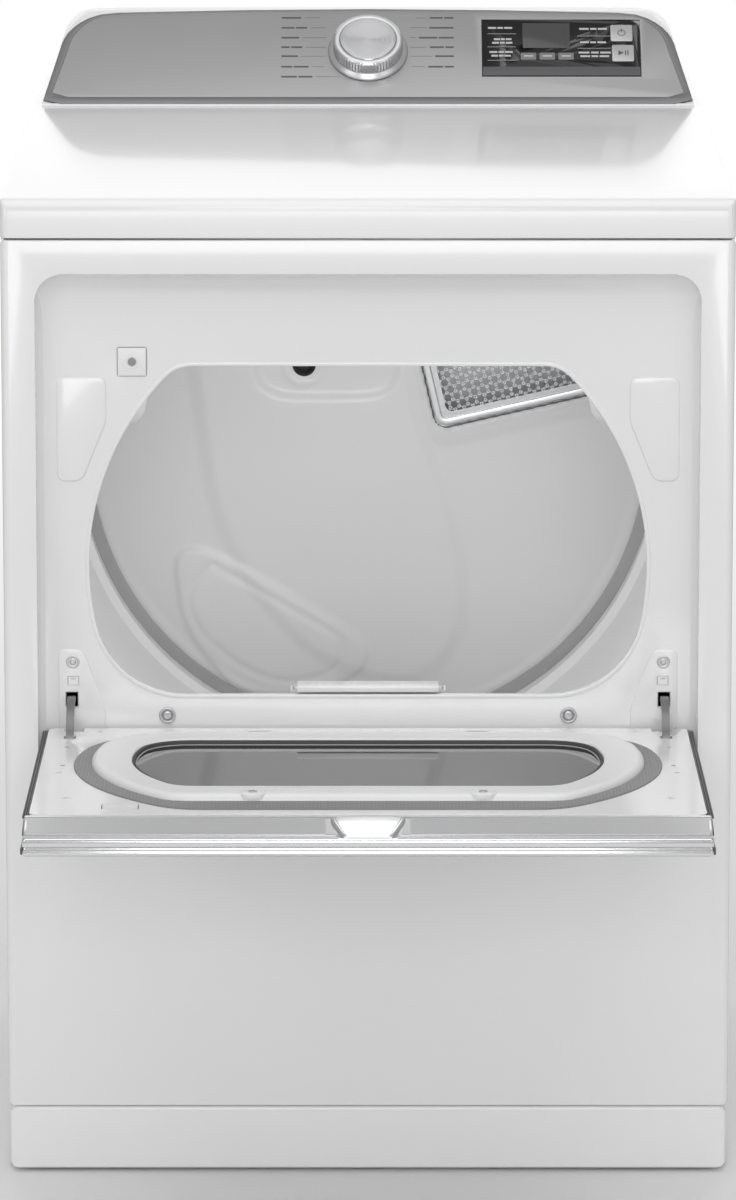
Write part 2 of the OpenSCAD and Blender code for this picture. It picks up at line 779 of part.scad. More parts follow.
// One baffle, drawn in by t from its outer face, on the right of the drum's axis
module baffle(t) {
    y0 = drum_y0 + 26;
    y1 = drum_y1 - track_w - 16;
    base = 46 - t;
    top = drum_r - sheet - baffle_h + t;
    foot = drum_r + 5;
    intersection() {
        along_y(y0 + t, y1 - t) polygon([
            [foot, -base], [foot, base], [top + 0.5 * baffle_h, 22 - t], [top + 4, 14 - t],
            [top, 8 - t], [top, t - 8], [top + 4, t - 14], [top + 0.5 * baffle_h, t - 22]
        ]);
        translate([0, 0, -60]) linear_extrude(120)
            polygon([[foot, y0 + t], [top - 1, y0 + 34 + t], [top - 1, y1 - 34 - t], [foot, y1 - t]]);
    }
}

module drum_baffles() {
    color("lightgray") for (i = [0:2]) translate([0, 0, drum_z]) rotate([0, -30 - 120 * i, 0])
        difference() {
            intersection() {
                baffle(0);
                rod_y(0, 0, drum_r - sheet, drum_y0, drum_y1);
            }
            baffle(2.5);
        }
}

// Support rollers stand under the roller track, one on each side
roller_angle = 34;
roller_path = track_r + roller_r + gap;
roller_x = roller_path * sin(roller_angle);
roller_z = drum_z - roller_path * cos(roller_angle);
roller_y = [drum_y1 - track_w + 9, drum_y1 - 3];

module roller(side) {
    color("dimgray") difference() {
        rod_y(side * roller_x, roller_z, roller_r, roller_y[0], roller_y[1]);
        rod_y(side * roller_x, roller_z, roller_shaft_r + running, roller_y[0] - 1, roller_y[1] + 1);
        difference() {
            rod_y(side * roller_x, roller_z, roller_r - 9, roller_y[0] - 1, roller_y[0] + 4);
            rod_y(side * roller_x, roller_z, roller_shaft_r + 6, roller_y[0] - 2, roller_y[0] + 5);
        }
    }
}
module roller_left() { roller(-1); }
module roller_right() { roller(1); }

module roller_shafts() {
    color("silver") both_sides() {
        rod_y(-roller_x, roller_z, roller_shaft_r, roller_y[0] - 6, bulkhead_y + 14);
        rod_y(-roller_x, roller_z, roller_shaft_r + 4, roller_y[1] + gap, bulkhead_y);
        rod_y(-roller_x, roller_z, roller_shaft_r + 5, bulkhead_y + sheet, bulkhead_y + sheet + 5);
        rod_y(-roller_x, roller_z, roller_shaft_r + 3, roller_y[0] - 3, roller_y[0] - gap);
    }
}

module drum_seals() {
    color("dimgray") tube_y(0, drum_z, rim_r + 14, 19, drum_y0 - 6.5, drum_y0 - gap);
    color("dimgray") tube_y(0, drum_z, track_r + 2, 16, drum_y1 + gap, bulkhead_y);
}

module drum_glides() {
    r = rim_r - 5;
    color("ivory") for (a = [-60, -20, 20, 60]) translate([0, 0, drum_z]) rotate([0, a, 0])
        intersection() {
            difference() {
                rod_y(0, 0, rim_r - gap, drum_y0, drum_y0 + 12);
                rod_y(0, 0, r, drum_y0 - 1, drum_y0 + 13);
            }
            block([-24, drum_y0 - 5, 0], [24, drum_y0 + 20, rim_r + 10]);
        }
}

// Belt, as an outline in X and Z: round the drum and under the motor pulley
belt_w = 9;
drum_at = [0, drum_z];
motor_at = [-motor_x, motor_z];
belt_on_drum = drum_r + gap;
belt_on_motor = pulley_r + gap;

function on_wheel(p, r, a) = p + r * [cos(a), sin(a)];

// Angle at which both wheels touch the belt's run on one side
function run_angle(side) = let (d = motor_at - drum_at)
    atan2(d[1], d[0]) + side * acos((belt_on_drum - belt_on_motor) / norm(d));

module belt_loop(g) {
    translate(drum_at) circle(belt_on_drum + g);
    translate(motor_at) circle(belt_on_motor + g);
    polygon([
        on_wheel(drum_at, belt_on_drum + g, run_angle(-1)),
        on_wheel(motor_at, belt_on_motor + g, run_angle(-1)),
        on_wheel(motor_at, belt_on_motor + g, run_angle(1)),
        on_wheel(drum_at, belt_on_drum + g, run_angle(1))
    ]);
}

module drive_belt() {
    color("black") along_y(belt_y - belt_w / 2, belt_y + belt_w / 2) difference() {
        belt_loop(belt_t);
        belt_loop(0);
    }
}

module motor_housing() {
    y0 = motor_y[0];
    y1 = motor_y[1];
    color("darkgray") difference() {
        union() {
            rod_y(-motor_x, motor_z, motor_r, y0 + 12, y1 - 12);
            rod_y(-motor_x, motor_z, motor_r - 14, y0, y0 + 12);
            rod_y(-motor_x, motor_z, motor_r - 14, y1 - 12, y1);
        }
        rod_y(-motor_x, motor_z, shaft_r + running, y0 - 1, y1 + 1);
        rod_y(-motor_x, motor_z, motor_r - 22, y0 + 8, y1 - 8);
    }
}

module motor_rotor() {
    y1 = shaft_y1;
    color("silver") difference() {
        union() {
            rod_y(-motor_x, motor_z, shaft_r, blower_y[0] + 8, y1);
            rod_y(-motor_x, motor_z, motor_r - 26, motor_y[0] + 25, motor_y[1] - 25);
            rod_y(-motor_x, motor_z, pulley_r, belt_y - 9, belt_y + 9);
            rod_y(-motor_x, motor_z, pulley_r + 4, belt_y - 11, belt_y - 9);
            rod_y(-motor_x, motor_z, pulley_r + 4, belt_y + 9, belt_y + 11);
        }
        rod_y(-motor_x, motor_z, 2, y1 - 6, y1 + 1);
    }
}

module blower_wheel() {
    y0 = blower_y[0] + 12;
    y1 = blower_y[1] - 14;
    blades = 24;
    color("ivory") difference() {
        union() {
            rod_y(-motor_x, motor_z, wheel_r, y1 - 3, y1);
            tube_y(-motor_x, motor_z, wheel_r, 24, y0, y0 + 3);
            rod_y(-motor_x, motor_z, shaft_r + 8, y0 + 20, y1 - 2);
            for (i = [0:blades - 1]) translate([-motor_x, 0, motor_z]) rotate([0, i * 360 / blades, 0])
                translate([wheel_r - 12, y0 + 2, -1]) rotate([0, 30, 0])
                    translate([-9, 0, 0]) cube([18, y1 - y0 - 4, 2]);
        }
        rod_y(-motor_x, motor_z, shaft_r, y0 - 5, y1 + 5);
    }
}

// Idler: a spring draws its arm over until the pulley bears on the belt's outer side
idler_side = run_angle(-1);
idler_along = 0.75;
idler_wheel = let (n = [cos(idler_side), sin(idler_side)])
    (1 - idler_along) * (drum_at + (belt_on_drum + belt_t) * n)
    + idler_along * (motor_at + (belt_on_motor + belt_t) * n) + (idler_r + gap) * n;
idler_pivot = [-motor_x - 96, motor_z - 46];
idler_hook = idler_pivot + [36, 0];
arm_y = belt_y + 9;
arm_t = 3;

module idler_arm() {
    color("silver") difference() {
        union() {
            along_y(arm_y, arm_y + arm_t) {
                translate(idler_pivot) circle(12);
                translate(idler_wheel) circle(10);
                translate(idler_hook) circle(6);
                polygon([idler_pivot + [-10, 0], idler_pivot + [10, 0], idler_wheel + [8, 0],
                         idler_wheel + [-8, 0]]);
                polygon([idler_pivot + [0, -10], idler_hook + [0, -5], idler_hook + [0, 5],
                         idler_pivot + [0, 10]]);
            }
            rod_y(idler_wheel[0], idler_wheel[1], 4, belt_y - 9, arm_y + 1);
            rod_y(idler_hook[0], idler_hook[1], 2, arm_y + 1, arm_y + arm_t + 14);
        }
        rod_y(idler_pivot[0], idler_pivot[1], 5 + running, arm_y - 1, arm_y + arm_t + 1);
    }
}

module idler_pulley() {
    color("dimgray") difference() {
        rod_y(idler_wheel[0], idler_wheel[1], idler_r, belt_y - 7, belt_y + 7);
        rod_y(idler_wheel[0], idler_wheel[1], 4 + running, belt_y - 8, belt_y + 8);
    }
}

// ---- Door, drawn closed ----

function r_z(r) = hinge_z + r;
function p_y(p) = hinge_y + p;

module hinge_notch() {
    both_sides() block([-pin_x[1] - 2, p_y(-8), r_z(-12)], [-pin_x[0] + 4, p_y(30), r_z(13)]);
}

module door_outer_panel() {
    edge = 8;
    wall = sheet;
    z0 = r_z(-8);
    z1 = r_z(door_len);
    color("white") opened() difference() {
        union() {
            difference() {
                intersection() {
                    translate([0, 0, z0]) linear_extrude(z1 - z0) translate([0, p_y(-door_front) + 50])
                        rounded(door_w - 2, 100, edge);
                    along_x(-door_w, door_w) translate([p_y(-door_front) + 50, (z0 + z1) / 2 + 30])
                        rounded(100, z1 - z0 + 60, edge);
                    block([-door_w, p_y(-40), z0], [door_w, p_y(9), z1]);
                }
                intersection() {
                    translate([0, 0, z0 + wall]) linear_extrude(z1 - z0 - 2 * wall)
                        translate([0, p_y(-door_front) + 50 + wall])
                            rounded(door_w - 2 - 2 * wall, 100, edge - wall);
                    along_x(-door_w, door_w)
                        translate([p_y(-door_front) + 50 + wall, (z0 + z1) / 2 + 30 + wall])
                            rounded(100, z1 - z0 + 60, edge - wall);
                }
            }
            along_y(p_y(-door_front), p_y(-2.4)) difference() {
                window(2);
                window();
            }
        }
        along_y(p_y(-door_front) - 1, p_y(-3)) window();
        hinge_notch();
    }
}

module door_liner() {
    z0 = r_z(-6);
    z1 = r_z(door_len);
    w = door_w - 13;
    mid = (z0 + z1) / 2;
    color("white") opened() difference() {
        along_y(p_y(9.5), p_y(door_back)) translate([0, mid]) rounded(w, z1 - z0, 10);
        along_y(p_y(0), p_y(door_back - 2)) translate([0, mid]) rounded(w - 4, z1 - z0 - 4, 8);
        along_y(p_y(0), p_y(30)) opening(-11);
        along_y(p_y(door_back - 1), p_y(30)) difference() {
            felt_edge(0.4);
            opening(-3.4);
        }
        both_sides() block([-stay_x - 6, p_y(0), r_z(stay_r - 8)], [-stay_x + 6, p_y(30), r_z(stay_r + 6)]);
        translate([latch_x, 0, latch_z]) block([-18, p_y(0), -12], [18, p_y(30), 12]);
        hinge_notch();
    }
}

module window_surround() {
    color("white") opened() difference() {
        union() {
            along_y(p_y(door_back), p_y(door_back + 5.5)) opening(-7);
            along_y(p_y(door_back + 5.5), p_y(door_back + 9.5)) opening(-12);
        }
        along_y(p_y(0), p_y(40)) window();
        along_y(p_y(0), p_y(door_back + 4)) difference() {
            opening(-10);
            window(3);
        }
        along_y(p_y(0), p_y(door_back + 7)) difference() {
            opening(-15);
            window(3);
        }
    }
    color("white") opened() along_y(p_y(3), p_y(door_back)) difference() {
        window(3);
        window();
    }
}

// Outer pane, inner pane and the spacer between them
module door_glass() {
    color([0.1, 0.1, 0.1, 0.6]) opened() {
        along_y(p_y(-2.4), p_y(2.6)) window(7);
        along_y(p_y(2.6), p_y(12.6)) difference() {
            window();
            window(-6);
        }
        along_y(p_y(12.6), p_y(16.6)) window();
    }
}

module door_gasket() {
    color("gray") opened() along_y(p_y(door_back - 1), p_y(door_back + 2.5)) difference() {
        felt_edge();
        opening(-3);
    }
}

module door_handle() {
    pocket = 88;
    color("silver") opened() difference() {
        along_x(-door_w / 2 + 2, door_w / 2 - 2)
            polygon([for (q = rail_outline) [p_y(q[1]), r_z(q[0])]]);
        block([-pocket / 2, p_y(-7), r_z(door_len + 8)], [pocket / 2, p_y(30), r_z(rail_end - 5)]);
        along_x(-door_w / 2 + 5, door_w / 2 - 5) polygon([
            [p_y(-door_front + 2), r_z(door_len - 1)], [p_y(-9), r_z(door_len - 1)],
            [p_y(-10), r_z(rail_end - 6)], [p_y(-door_front + 2), r_z(rail_end - 8)]
        ]);
    }
}

module door_side_trims() {
    color("dimgray") opened() both_sides() {
        block([-door_w / 2, p_y(9), r_z(0)], [-door_w / 2 + 6.5, p_y(door_back - 1), r_z(door_len)]);
        block([-door_w / 2, p_y(-door_front + 2), r_z(door_len + 1)],
              [-door_w / 2 + 2, p_y(0), r_z(rail_end - 5)]);
    }
}

module door_strike() {
    color("silver") opened() translate([latch_x, 0, latch_z]) difference() {
        block([-17, p_y(7), -11], [17, p_y(door_back), 11]);
        block([-15, p_y(6), -9], [15, p_y(door_back - 1.5), 9]);
    }
}

// Quadrant of a ring about the hinge axis, from angle a0 to a1 measured from the open door
module stay_arc(a0, a1) {
    along_x(-stay_x - 4, -stay_x + 4) translate([hinge_y, hinge_z]) intersection() {
        difference() {
            circle(stay_r + 2.5);
            circle(stay_r - 2.5);
        }
        polygon(concat([[0, 0]], [for (i = [0:8]) let (a = 180 - a0 - (a1 - a0) * i / 8)
            2 * stay_r * [cos(a), sin(a)]]));
    }
}

module hinge_stays() {
    color("silver") both_sides() {
        stay_arc(12, 122);
        opened() difference() {
            union() {
                rod_x(p_y(0), r_z(0), 6.2, -stay_x, -stay_x + 4.5);
                block([-stay_x, p_y(-5), r_z(0)], [-stay_x + 4.5, p_y(5), r_z(80)]);
                block([-stay_x - 4, p_y(-5), r_z(stay_r - 8)], [-stay_x, p_y(8), r_z(stay_r + 8)]);
            }
            rod_x(p_y(0), r_z(0), hinge_pin_r + running, -stay_x - 1, -stay_x + 6);
        }
    }
}

module hinge_brackets() {
    color("silver") both_sides() {
        rod_x(hinge_y, hinge_z, hinge_pin_r, -stay_x - 3, -pin_x[0] + 1);
        rod_x(hinge_y, hinge_z, 6, -pin_x[0] - 3, -pin_x[0]);
        block([-pin_x[0] - 3, hinge_y, hinge_z - 6], [-pin_x[0], floor_y, hinge_z + 6]);
    }
}

module door_screws() {
    color("silver") opened() for (x = [-111, 111]) translate([x, p_y(door_back + 9.5), window_z + 148])
        rotate([-90, 0, 0]) cylinder(r = 5, h = 1.5);
}

module panel_screws() {
    color("silver") {
        for (s = [-1, 1]) {
            translate([s * 204, floor_y, hinge_z + 24]) rotate([90, 0, 0]) cylinder(r = 5, h = 2);
            translate([s * 300, floor_y, hinge_z + 80]) rotate([90, 0, 0]) cylinder(r = 4, h = 2);
            for (i = [0:4]) translate([s * (half_w - 12), cab_d, 60 + i * (cab_h - 100) / 4])
                rotate([-90, 0, 0]) cylinder(r = 4.5, h = 2.5);
        }
    }
}

module door_catch() {
    color("whitesmoke") translate([latch_x, floor_y, latch_z]) difference() {
        union() {
            block([-14.3, -1.5, -14.3], [14.3, 0, 14.3]);
            block([-11.5, 0, -11.5], [11.5, 14, 11.5]);
        }
        rod_y(0, 0, 4 + running, -3, 15);
    }
}

module switch_plunger() {
    color("gray") translate([latch_x, floor_y, latch_z]) {
        rod_y(0, 0, 4, -2.6, 16);
        rod_y(0, 0, 7, 14.4, 17);
    }
}

module lint_screen() {
    w = screen_w;
    bar = 8;
    cells = 4;
    z0 = open_z0 - screen_h;
    z1 = open_z0 - bar;
    pitch = (screen_h - bar) / cells;
    y0 = screen_y[0];
    y1 = screen_y[1];
    color("whitesmoke") {
        difference() {
            block([-w / 2, y0, z0], [w / 2, y1, open_z0]);
            for (i = [0:cells - 1]) translate([0, 0, z0 + bar + i * pitch])
                block([-w / 2 + bar, y0 - 1, 0], [w / 2 - bar, y1 + 1, pitch - bar]);
        }
        block([-w / 2 + bar - 1, y1 - 3, z0 + bar - 1], [w / 2 - bar + 1, y1 - 2.4, z1 + 1]);
        along_x(-72, 72) polygon([
            [floor_y + 2, open_z0 - 0.5], [screen_y[1] + 1, open_z0 - 0.5], [screen_y[1] + 2, open_z0 + 4],
            [floor_y + 6, open_z0 + 6], [floor_y + 2, open_z0 + 4]
        ]);
    }
}

// ---- Heater, electrics ----

heater_x = [64, 236];
heater_y = [bulkhead_y + 2 * sheet, cab_d - sheet - 3];
heater_z = [roller_z + roller_r + 16, cab_h - 132];

module heater_box() {
    color("silver") difference() {
        block([heater_x[0], heater_y[0], heater_z[0]], [heater_x[1], heater_y[1], heater_z[1]]);
        block([heater_x[0] + 1, heater_y[0] + 1, heater_z[0] - 1],
              [heater_x[1] - 1, heater_y[1] - 1, heater_z[1] - 1]);
        along_y(heater_y[0] - 1, heater_y[0] + 2) grille_place() rounded(grille_size[0] - 20, grille_size[1] - 20, 8);
    }
}

module heater_coil() {
    y = (heater_y[0] + heater_y[1]) / 2;
    color("silver") for (i = [0:3], j = [0:5])
        translate([heater_x[0] + 28 + 36 * i, y, heater_z[0] + 60 + 36 * j])
            rotate_extrude($fn = 32) translate([12, 0]) circle(1.6, $fn = 16);
    color("ivory") for (i = [0:3])
        block([heater_x[0] + 26 + 36 * i, y - 2, heater_z[0] + 40],
              [heater_x[0] + 30 + 36 * i, y + 2, heater_z[0] + 280]);
}

module terminal_cover() {
    color("gainsboro") translate([inlet_x, cab_d, inlet_z]) difference() {
        block([-34, 0, -52], [34, 9, 52]);
        block([-32.5, -1, -50.5], [32.5, 7.5, 50.5]);
        rod_y(0, -28, cord_r, 5, 12);
    }
}

// Tension spring between the arm's hook and the base pan, as a round wire swept along a helix
module idler_spring() {
    coil_r = 6;
    wire_r = 1.2;
    turns = 9;
    per_turn = 12;
    sides = 6;
    z0 = base_z + sheet + wire_r + tiny;
    length = idler_hook[1] - 2 - 2 * wire_r - z0;
    rings = turns * per_turn;
    points = [for (i = [0:rings], j = [0:sides - 1])
        let (a = 360 * i / per_turn, b = 360 * j / sides, r = coil_r + wire_r * cos(b))
        [r * cos(a), r * sin(a), length * i / rings + wire_r * sin(b)]];
    walls = [for (i = [0:rings - 1], j = [0:sides - 1])
        [i * sides + j, (i + 1) * sides + j, (i + 1) * sides + (j + 1) % sides,
         i * sides + (j + 1) % sides]];
    ends = [[for (j = [0:sides - 1]) j], [for (j = [sides - 1:-1:0]) rings * sides + j]];
    color("silver") translate([idler_hook[0], arm_y + arm_t + 8, z0])
        polyhedron(points, concat(walls, ends));
}

module foot(x, y) {
    color("dimgray") translate([x, y, 0]) {
        cylinder(r = 17, h = 9, $fn = 6);
        cylinder(r = 5, h = 46);
    }
}

standing() front_panel();
standing() toe_panel();
standing() side_panel_left();
standing() side_panel_right();
standing() rear_panel();
standing() base_pan();
standing() top_panel();
standing() front_bulkhead();
standing() rear_bulkhead();
standing() inlet_grille();
standing() lamp_lens();
standing() lint_duct();
standing() blower_housing();
standing() exhaust_duct();
standing() motor_housing();
standing() heater_box();
standing() heater_coil();
standing() terminal_cover();
standing() control_board();
standing() console_housing();
standing() console_fascia();
standing() display_glass();
standing() door_catch();
standing() roller_shafts();
standing() hinge_brackets();
standing() drum_seals();
standing() drum_glides();
standing() drive_belt();
standing() idler_spring();
standing() panel_screws();
standing() drum_shell();
standing() drum_baffles();
standing() motor_rotor();
standing() blower_wheel();
standing() idler_arm();
standing() idler_pulley();
standing() roller_left();
standing() roller_right();
standing() lint_screen();
standing() door_outer_panel();
standing() door_liner();
standing() window_surround();
standing() door_glass();
standing() door_gasket();
standing() door_handle();
standing() door_side_trims();
standing() door_strike();
standing() hinge_stays();
standing() door_screws();
standing() cycle_knob();
standing() power_key();
standing() start_key();
standing() option_key(0);  // option_key_1
standing() option_key(1);  // option_key_2
standing() option_key(2);  // option_key_3
standing() switch_plunger();
standing() foot(-foot_x, foot_y[0]);  // foot_front_left
standing() foot(foot_x, foot_y[0]);  // foot_front_right
standing() foot(-foot_x, foot_y[1]);  // foot_rear_left
standing() foot(foot_x, foot_y[1]);  // foot_rear_right
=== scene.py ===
"""Electric clothes dryer with a pull-down door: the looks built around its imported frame."""

import json
import logging
import math
from contextlib import contextmanager
from dataclasses import dataclass, field
from enum import Enum
from typing import Callable, Iterator, Sequence

import bmesh
import bpy
import numpy as np
from mathutils import Matrix, Vector

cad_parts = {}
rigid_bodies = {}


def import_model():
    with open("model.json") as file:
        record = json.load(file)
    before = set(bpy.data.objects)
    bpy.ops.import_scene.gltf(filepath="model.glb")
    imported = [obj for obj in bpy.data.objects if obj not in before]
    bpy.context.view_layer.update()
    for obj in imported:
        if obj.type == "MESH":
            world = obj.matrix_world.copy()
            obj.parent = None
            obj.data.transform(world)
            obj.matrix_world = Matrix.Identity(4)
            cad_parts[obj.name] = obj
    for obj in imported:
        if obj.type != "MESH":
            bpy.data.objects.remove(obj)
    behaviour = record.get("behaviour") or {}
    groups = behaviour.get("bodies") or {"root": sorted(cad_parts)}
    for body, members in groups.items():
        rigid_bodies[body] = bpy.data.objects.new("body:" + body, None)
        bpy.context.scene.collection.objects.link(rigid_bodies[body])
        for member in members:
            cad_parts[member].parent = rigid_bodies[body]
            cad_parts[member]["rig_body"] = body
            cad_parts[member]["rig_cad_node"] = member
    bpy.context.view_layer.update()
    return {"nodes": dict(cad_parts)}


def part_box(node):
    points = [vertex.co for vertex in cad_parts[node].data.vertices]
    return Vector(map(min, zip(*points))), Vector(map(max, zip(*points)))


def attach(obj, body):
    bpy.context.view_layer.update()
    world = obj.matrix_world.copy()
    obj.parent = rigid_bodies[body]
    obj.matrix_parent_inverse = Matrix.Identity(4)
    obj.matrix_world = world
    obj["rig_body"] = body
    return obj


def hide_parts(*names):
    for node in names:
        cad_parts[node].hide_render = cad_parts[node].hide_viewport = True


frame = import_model()

log = logging.getLogger("dryer")
MM = 0.001
Flat = list[tuple[float, float]]
Loop = list[tuple[float, float, float]]
Thing = bpy.types.Object


# ---- Places: each frame takes (across, depth, up) in millimetres ----


def _frame(origin: Sequence[float], turn: float = 0.0) -> Matrix:
    """Matrix from a frame in millimetres to the row frame in metres.

    Args:
        origin: the frame's origin, as across, depth behind the front face and height.
        turn: its turn about X, in degrees.

    Returns:
        The matrix.
    """
    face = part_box("front_panel")[0].y
    return (Matrix.Translation((origin[0] * MM, face + origin[1] * MM, origin[2] * MM))
            @ Matrix.Rotation(math.radians(turn), 4, "X") @ Matrix.Scale(MM, 4))


HINGE_DEPTH, HINGE_HEIGHT, DOOR_TURN = 11.0, 452.0, 87.3
CONSOLE_DEPTH, CONSOLE_HEIGHT, CONSOLE_TILT = 512.0, 1030.0, 39.2
DRUM_HEIGHT, BULKHEAD_DEPTH, RECESS_DEPTH = 631.0, 623.0, 27.0
CABINET = _frame((0, 0, 0))
FACE = _frame((0, CONSOLE_DEPTH, CONSOLE_HEIGHT), CONSOLE_TILT - 90)
DOOR = _frame((0, HINGE_DEPTH, HINGE_HEIGHT), DOOR_TURN)


# ---- Outlines ----


def arc(cx: float, cy: float, r: float, a0: float, a1: float, n: int) -> Flat:
    """Points on an arc, n + 1 of them, between two angles in degrees."""
    return [(cx + r * math.cos(math.radians(a0 + (a1 - a0) * i / n)),
             cy + r * math.sin(math.radians(a0 + (a1 - a0) * i / n))) for i in range(n + 1)]


def disc(r: float, n: int = 48, cx: float = 0, cy: float = 0) -> Flat:
    """A circle of n points."""
    return arc(cx, cy, r, 0, 360, n)[:-1]


def rounded(w: float, h: float, r: float, cx: float = 0, cy: float = 0, n: int = 5) -> Flat:
    """A rectangle with round corners about a middle.

    Args:
        w, h: its width and height.
        r: radius of its corners.
        cx, cy: its middle.
        n: steps in each corner.

    Returns:
        Its outline.
    """
    out: Flat = []
    for sx, sy, a in ((1, 1, 0), (-1, 1, 90), (-1, -1, 180), (1, -1, 270)):
        out += arc(cx + sx * (w / 2 - r), cy + sy * (h / 2 - r), r, a, a + 90, n)
    return out


def stadium(w: float, h: float, cx: float = 0, cy: float = 0, n: int = 16) -> Flat:
    """A slot with round ends."""
    d = (w - h) / 2
    return arc(cx + d, cy, h / 2, -90, 90, n) + arc(cx - d, cy, h / 2, 90, 270, n)


def smooth(points: Flat, steps: int = 5) -> Flat:
    """A closed curve through all the points.

    Args:
        points: the points, in order.
        steps: pieces of curve between two points.

    Returns:
        The curve's points.
    """
    out: Flat = []
    n = len(points)
    for i in range(n):
        a, b, c, d = (Vector(points[(i + k) % n]) for k in (-1, 0, 1, 2))
        for s in range(steps):
            t = s / steps
            p = 0.5 * ((2 * b) + (c - a) * t + (2 * a - 5 * b + 4 * c - d) * t * t
                       + (3 * b - a - 3 * c + d) * t ** 3)
            out.append((p.x, p.y))
    return out


def softened(points: Flat, r: float, n: int = 4) -> Flat:
    """A polygon with its corners rounded.

    Args:
        points: its corners, in order.
        r: about how far from a corner its rounding starts.
        n: steps in each corner.

    Returns:
        The outline.
    """
    out: Flat = []
    for i, q in enumerate(points):
        a, b, c = Vector(points[i - 1]), Vector(q), Vector(points[(i + 1) % len(points)])
        s = b + (a - b).normalized() * min(r, (a - b).length * 0.45)
        e = b + (c - b).normalized() * min(r, (c - b).length * 0.45)
        for k in range(n + 1):
            t = k / n
            p = s * (1 - t) ** 2 + b * 2 * t * (1 - t) + e * t * t
            out.append((p.x, p.y))
    return out


def inset(points: Flat, d: float) -> Flat:
    """The outline moved inwards.

    Args:
        points: the outline.
        d: how far, negative for outwards.

    Returns:
        The new outline, of as many points.
    """
    n = len(points)
    area = sum(points[i - 1][0] * points[i][1] - points[i][0] * points[i - 1][1] for i in range(n))
    side = 1 if area > 0 else -1
    out: Flat = []
    for i in range(n):
        a, b, c = Vector(points[i - 1]), Vector(points[i]), Vector(points[(i + 1) % n])
        e, f = (b - a), (c - b)
        e, f = (e.normalized() if e.length > 1e-9 else f.normalized()), \
               (f.normalized() if f.length > 1e-9 else e.normalized())
        m = Vector((-e.y - f.y, e.x + f.x))
        m = m.normalized() if m.length > 1e-9 else Vector((-e.y, e.x))
        k = max(0.5, m.dot(Vector((-e.y, e.x))))
        out.append((b.x + side * m.x * d / k, b.y + side * m.y * d / k))
    return out


def rays(points: Flat, n: int = 144, cx: float = 0, cy: float = 0) -> Flat:
    """The outline again, with its points in even directions from a middle.

    Args:
        points: the outline.
        n: directions.
        cx, cy: the middle.

    Returns:
        The new outline.
    """
    out: Flat = []
    c = Vector((cx, cy))
    for i in range(n):
        a = 2 * math.pi * i / n
        d = Vector((math.cos(a), math.sin(a)))
        best = 0.0
        for j, q in enumerate(points):
            p, s = Vector(points[j - 1]) - c, Vector(q) - Vector(points[j - 1])
            den = d.x * s.y - d.y * s.x
            if abs(den) > 1e-12:
                t, u = (p.x * s.y - p.y * s.x) / den, (p.x * d.y - p.y * d.x) / den
                if -1e-9 <= u <= 1 + 1e-9:
                    best = max(best, t)
        out.append((cx + d.x * best, cy + d.y * best))
    return out


@dataclass(frozen=True)
class Opening:
    """The door opening's outline: round sides, flat top and bottom."""

    low: float = 131.0
    high: float = 204.0
    side: float = 280.0
    low_corner: float = 90.0
    top_corner: float = 35.0

    def outline(self, grow: float = 0.0, base: float = DRUM_HEIGHT) -> Flat:
        """The outline grown by a margin.

        Args:
            grow: the margin.
            base: height of the middle of its round sides.

        Returns:
            The outline.
        """
        lz = self.low_corner - self.low
        lx = math.sqrt((self.side - self.low_corner) ** 2 - lz ** 2)
        tz = self.high - self.top_corner
        tx = math.sqrt((self.side - self.top_corner) ** 2 - tz ** 2)
        la, ta = math.degrees(math.atan2(lz, lx)), math.degrees(math.atan2(tz, tx))
        right = (arc(lx, lz, self.low_corner + grow, -90, la, 12)
                 + arc(0, 0, self.side + grow, la, ta, 26)[1:]
                 + arc(tx, tz, self.top_corner + grow, ta, 90, 8)[1:])
        left = [(-x, z) for x, z in reversed(right)]
        return [(x, z + base) for x, z in right + left]


# ---- Modelling ----


def deselect() -> None:
    """Deselects every object."""
    bpy.ops.object.select_all(action="DESELECT")


def pick(*things: Thing) -> Thing:
    """Selects these objects only.

    Args:
        things: the objects.

    Returns:
        The first, which becomes the active one.
    """
    deselect()
    for o in things:
        o.select_set(True)
    bpy.context.view_layer.objects.active = things[0]
    return things[0]


@contextmanager
def editing(obj: Thing) -> Iterator[None]:
    """Edit mode for the lines inside.

    Args:
        obj: the object.
    """
    pick(obj)
    bpy.ops.object.mode_set(mode="EDIT")
    bpy.ops.mesh.select_mode(type="VERT")
    yield
    bpy.ops.object.mode_set(mode="OBJECT")


def applied(obj: Thing, kind: str, **values: object) -> Thing:
    """Adds a modifier and applies it.

    Args:
        obj: the object.
        kind: the modifier's type.
        values: what its properties are set to.

    Returns:
        The object.
    """
    pick(obj)
    mod = obj.modifiers.new(kind.title(), kind)
    for key, value in values.items():
        setattr(mod, key, value)
    bpy.ops.object.modifier_apply(modifier=mod.name)
    return obj


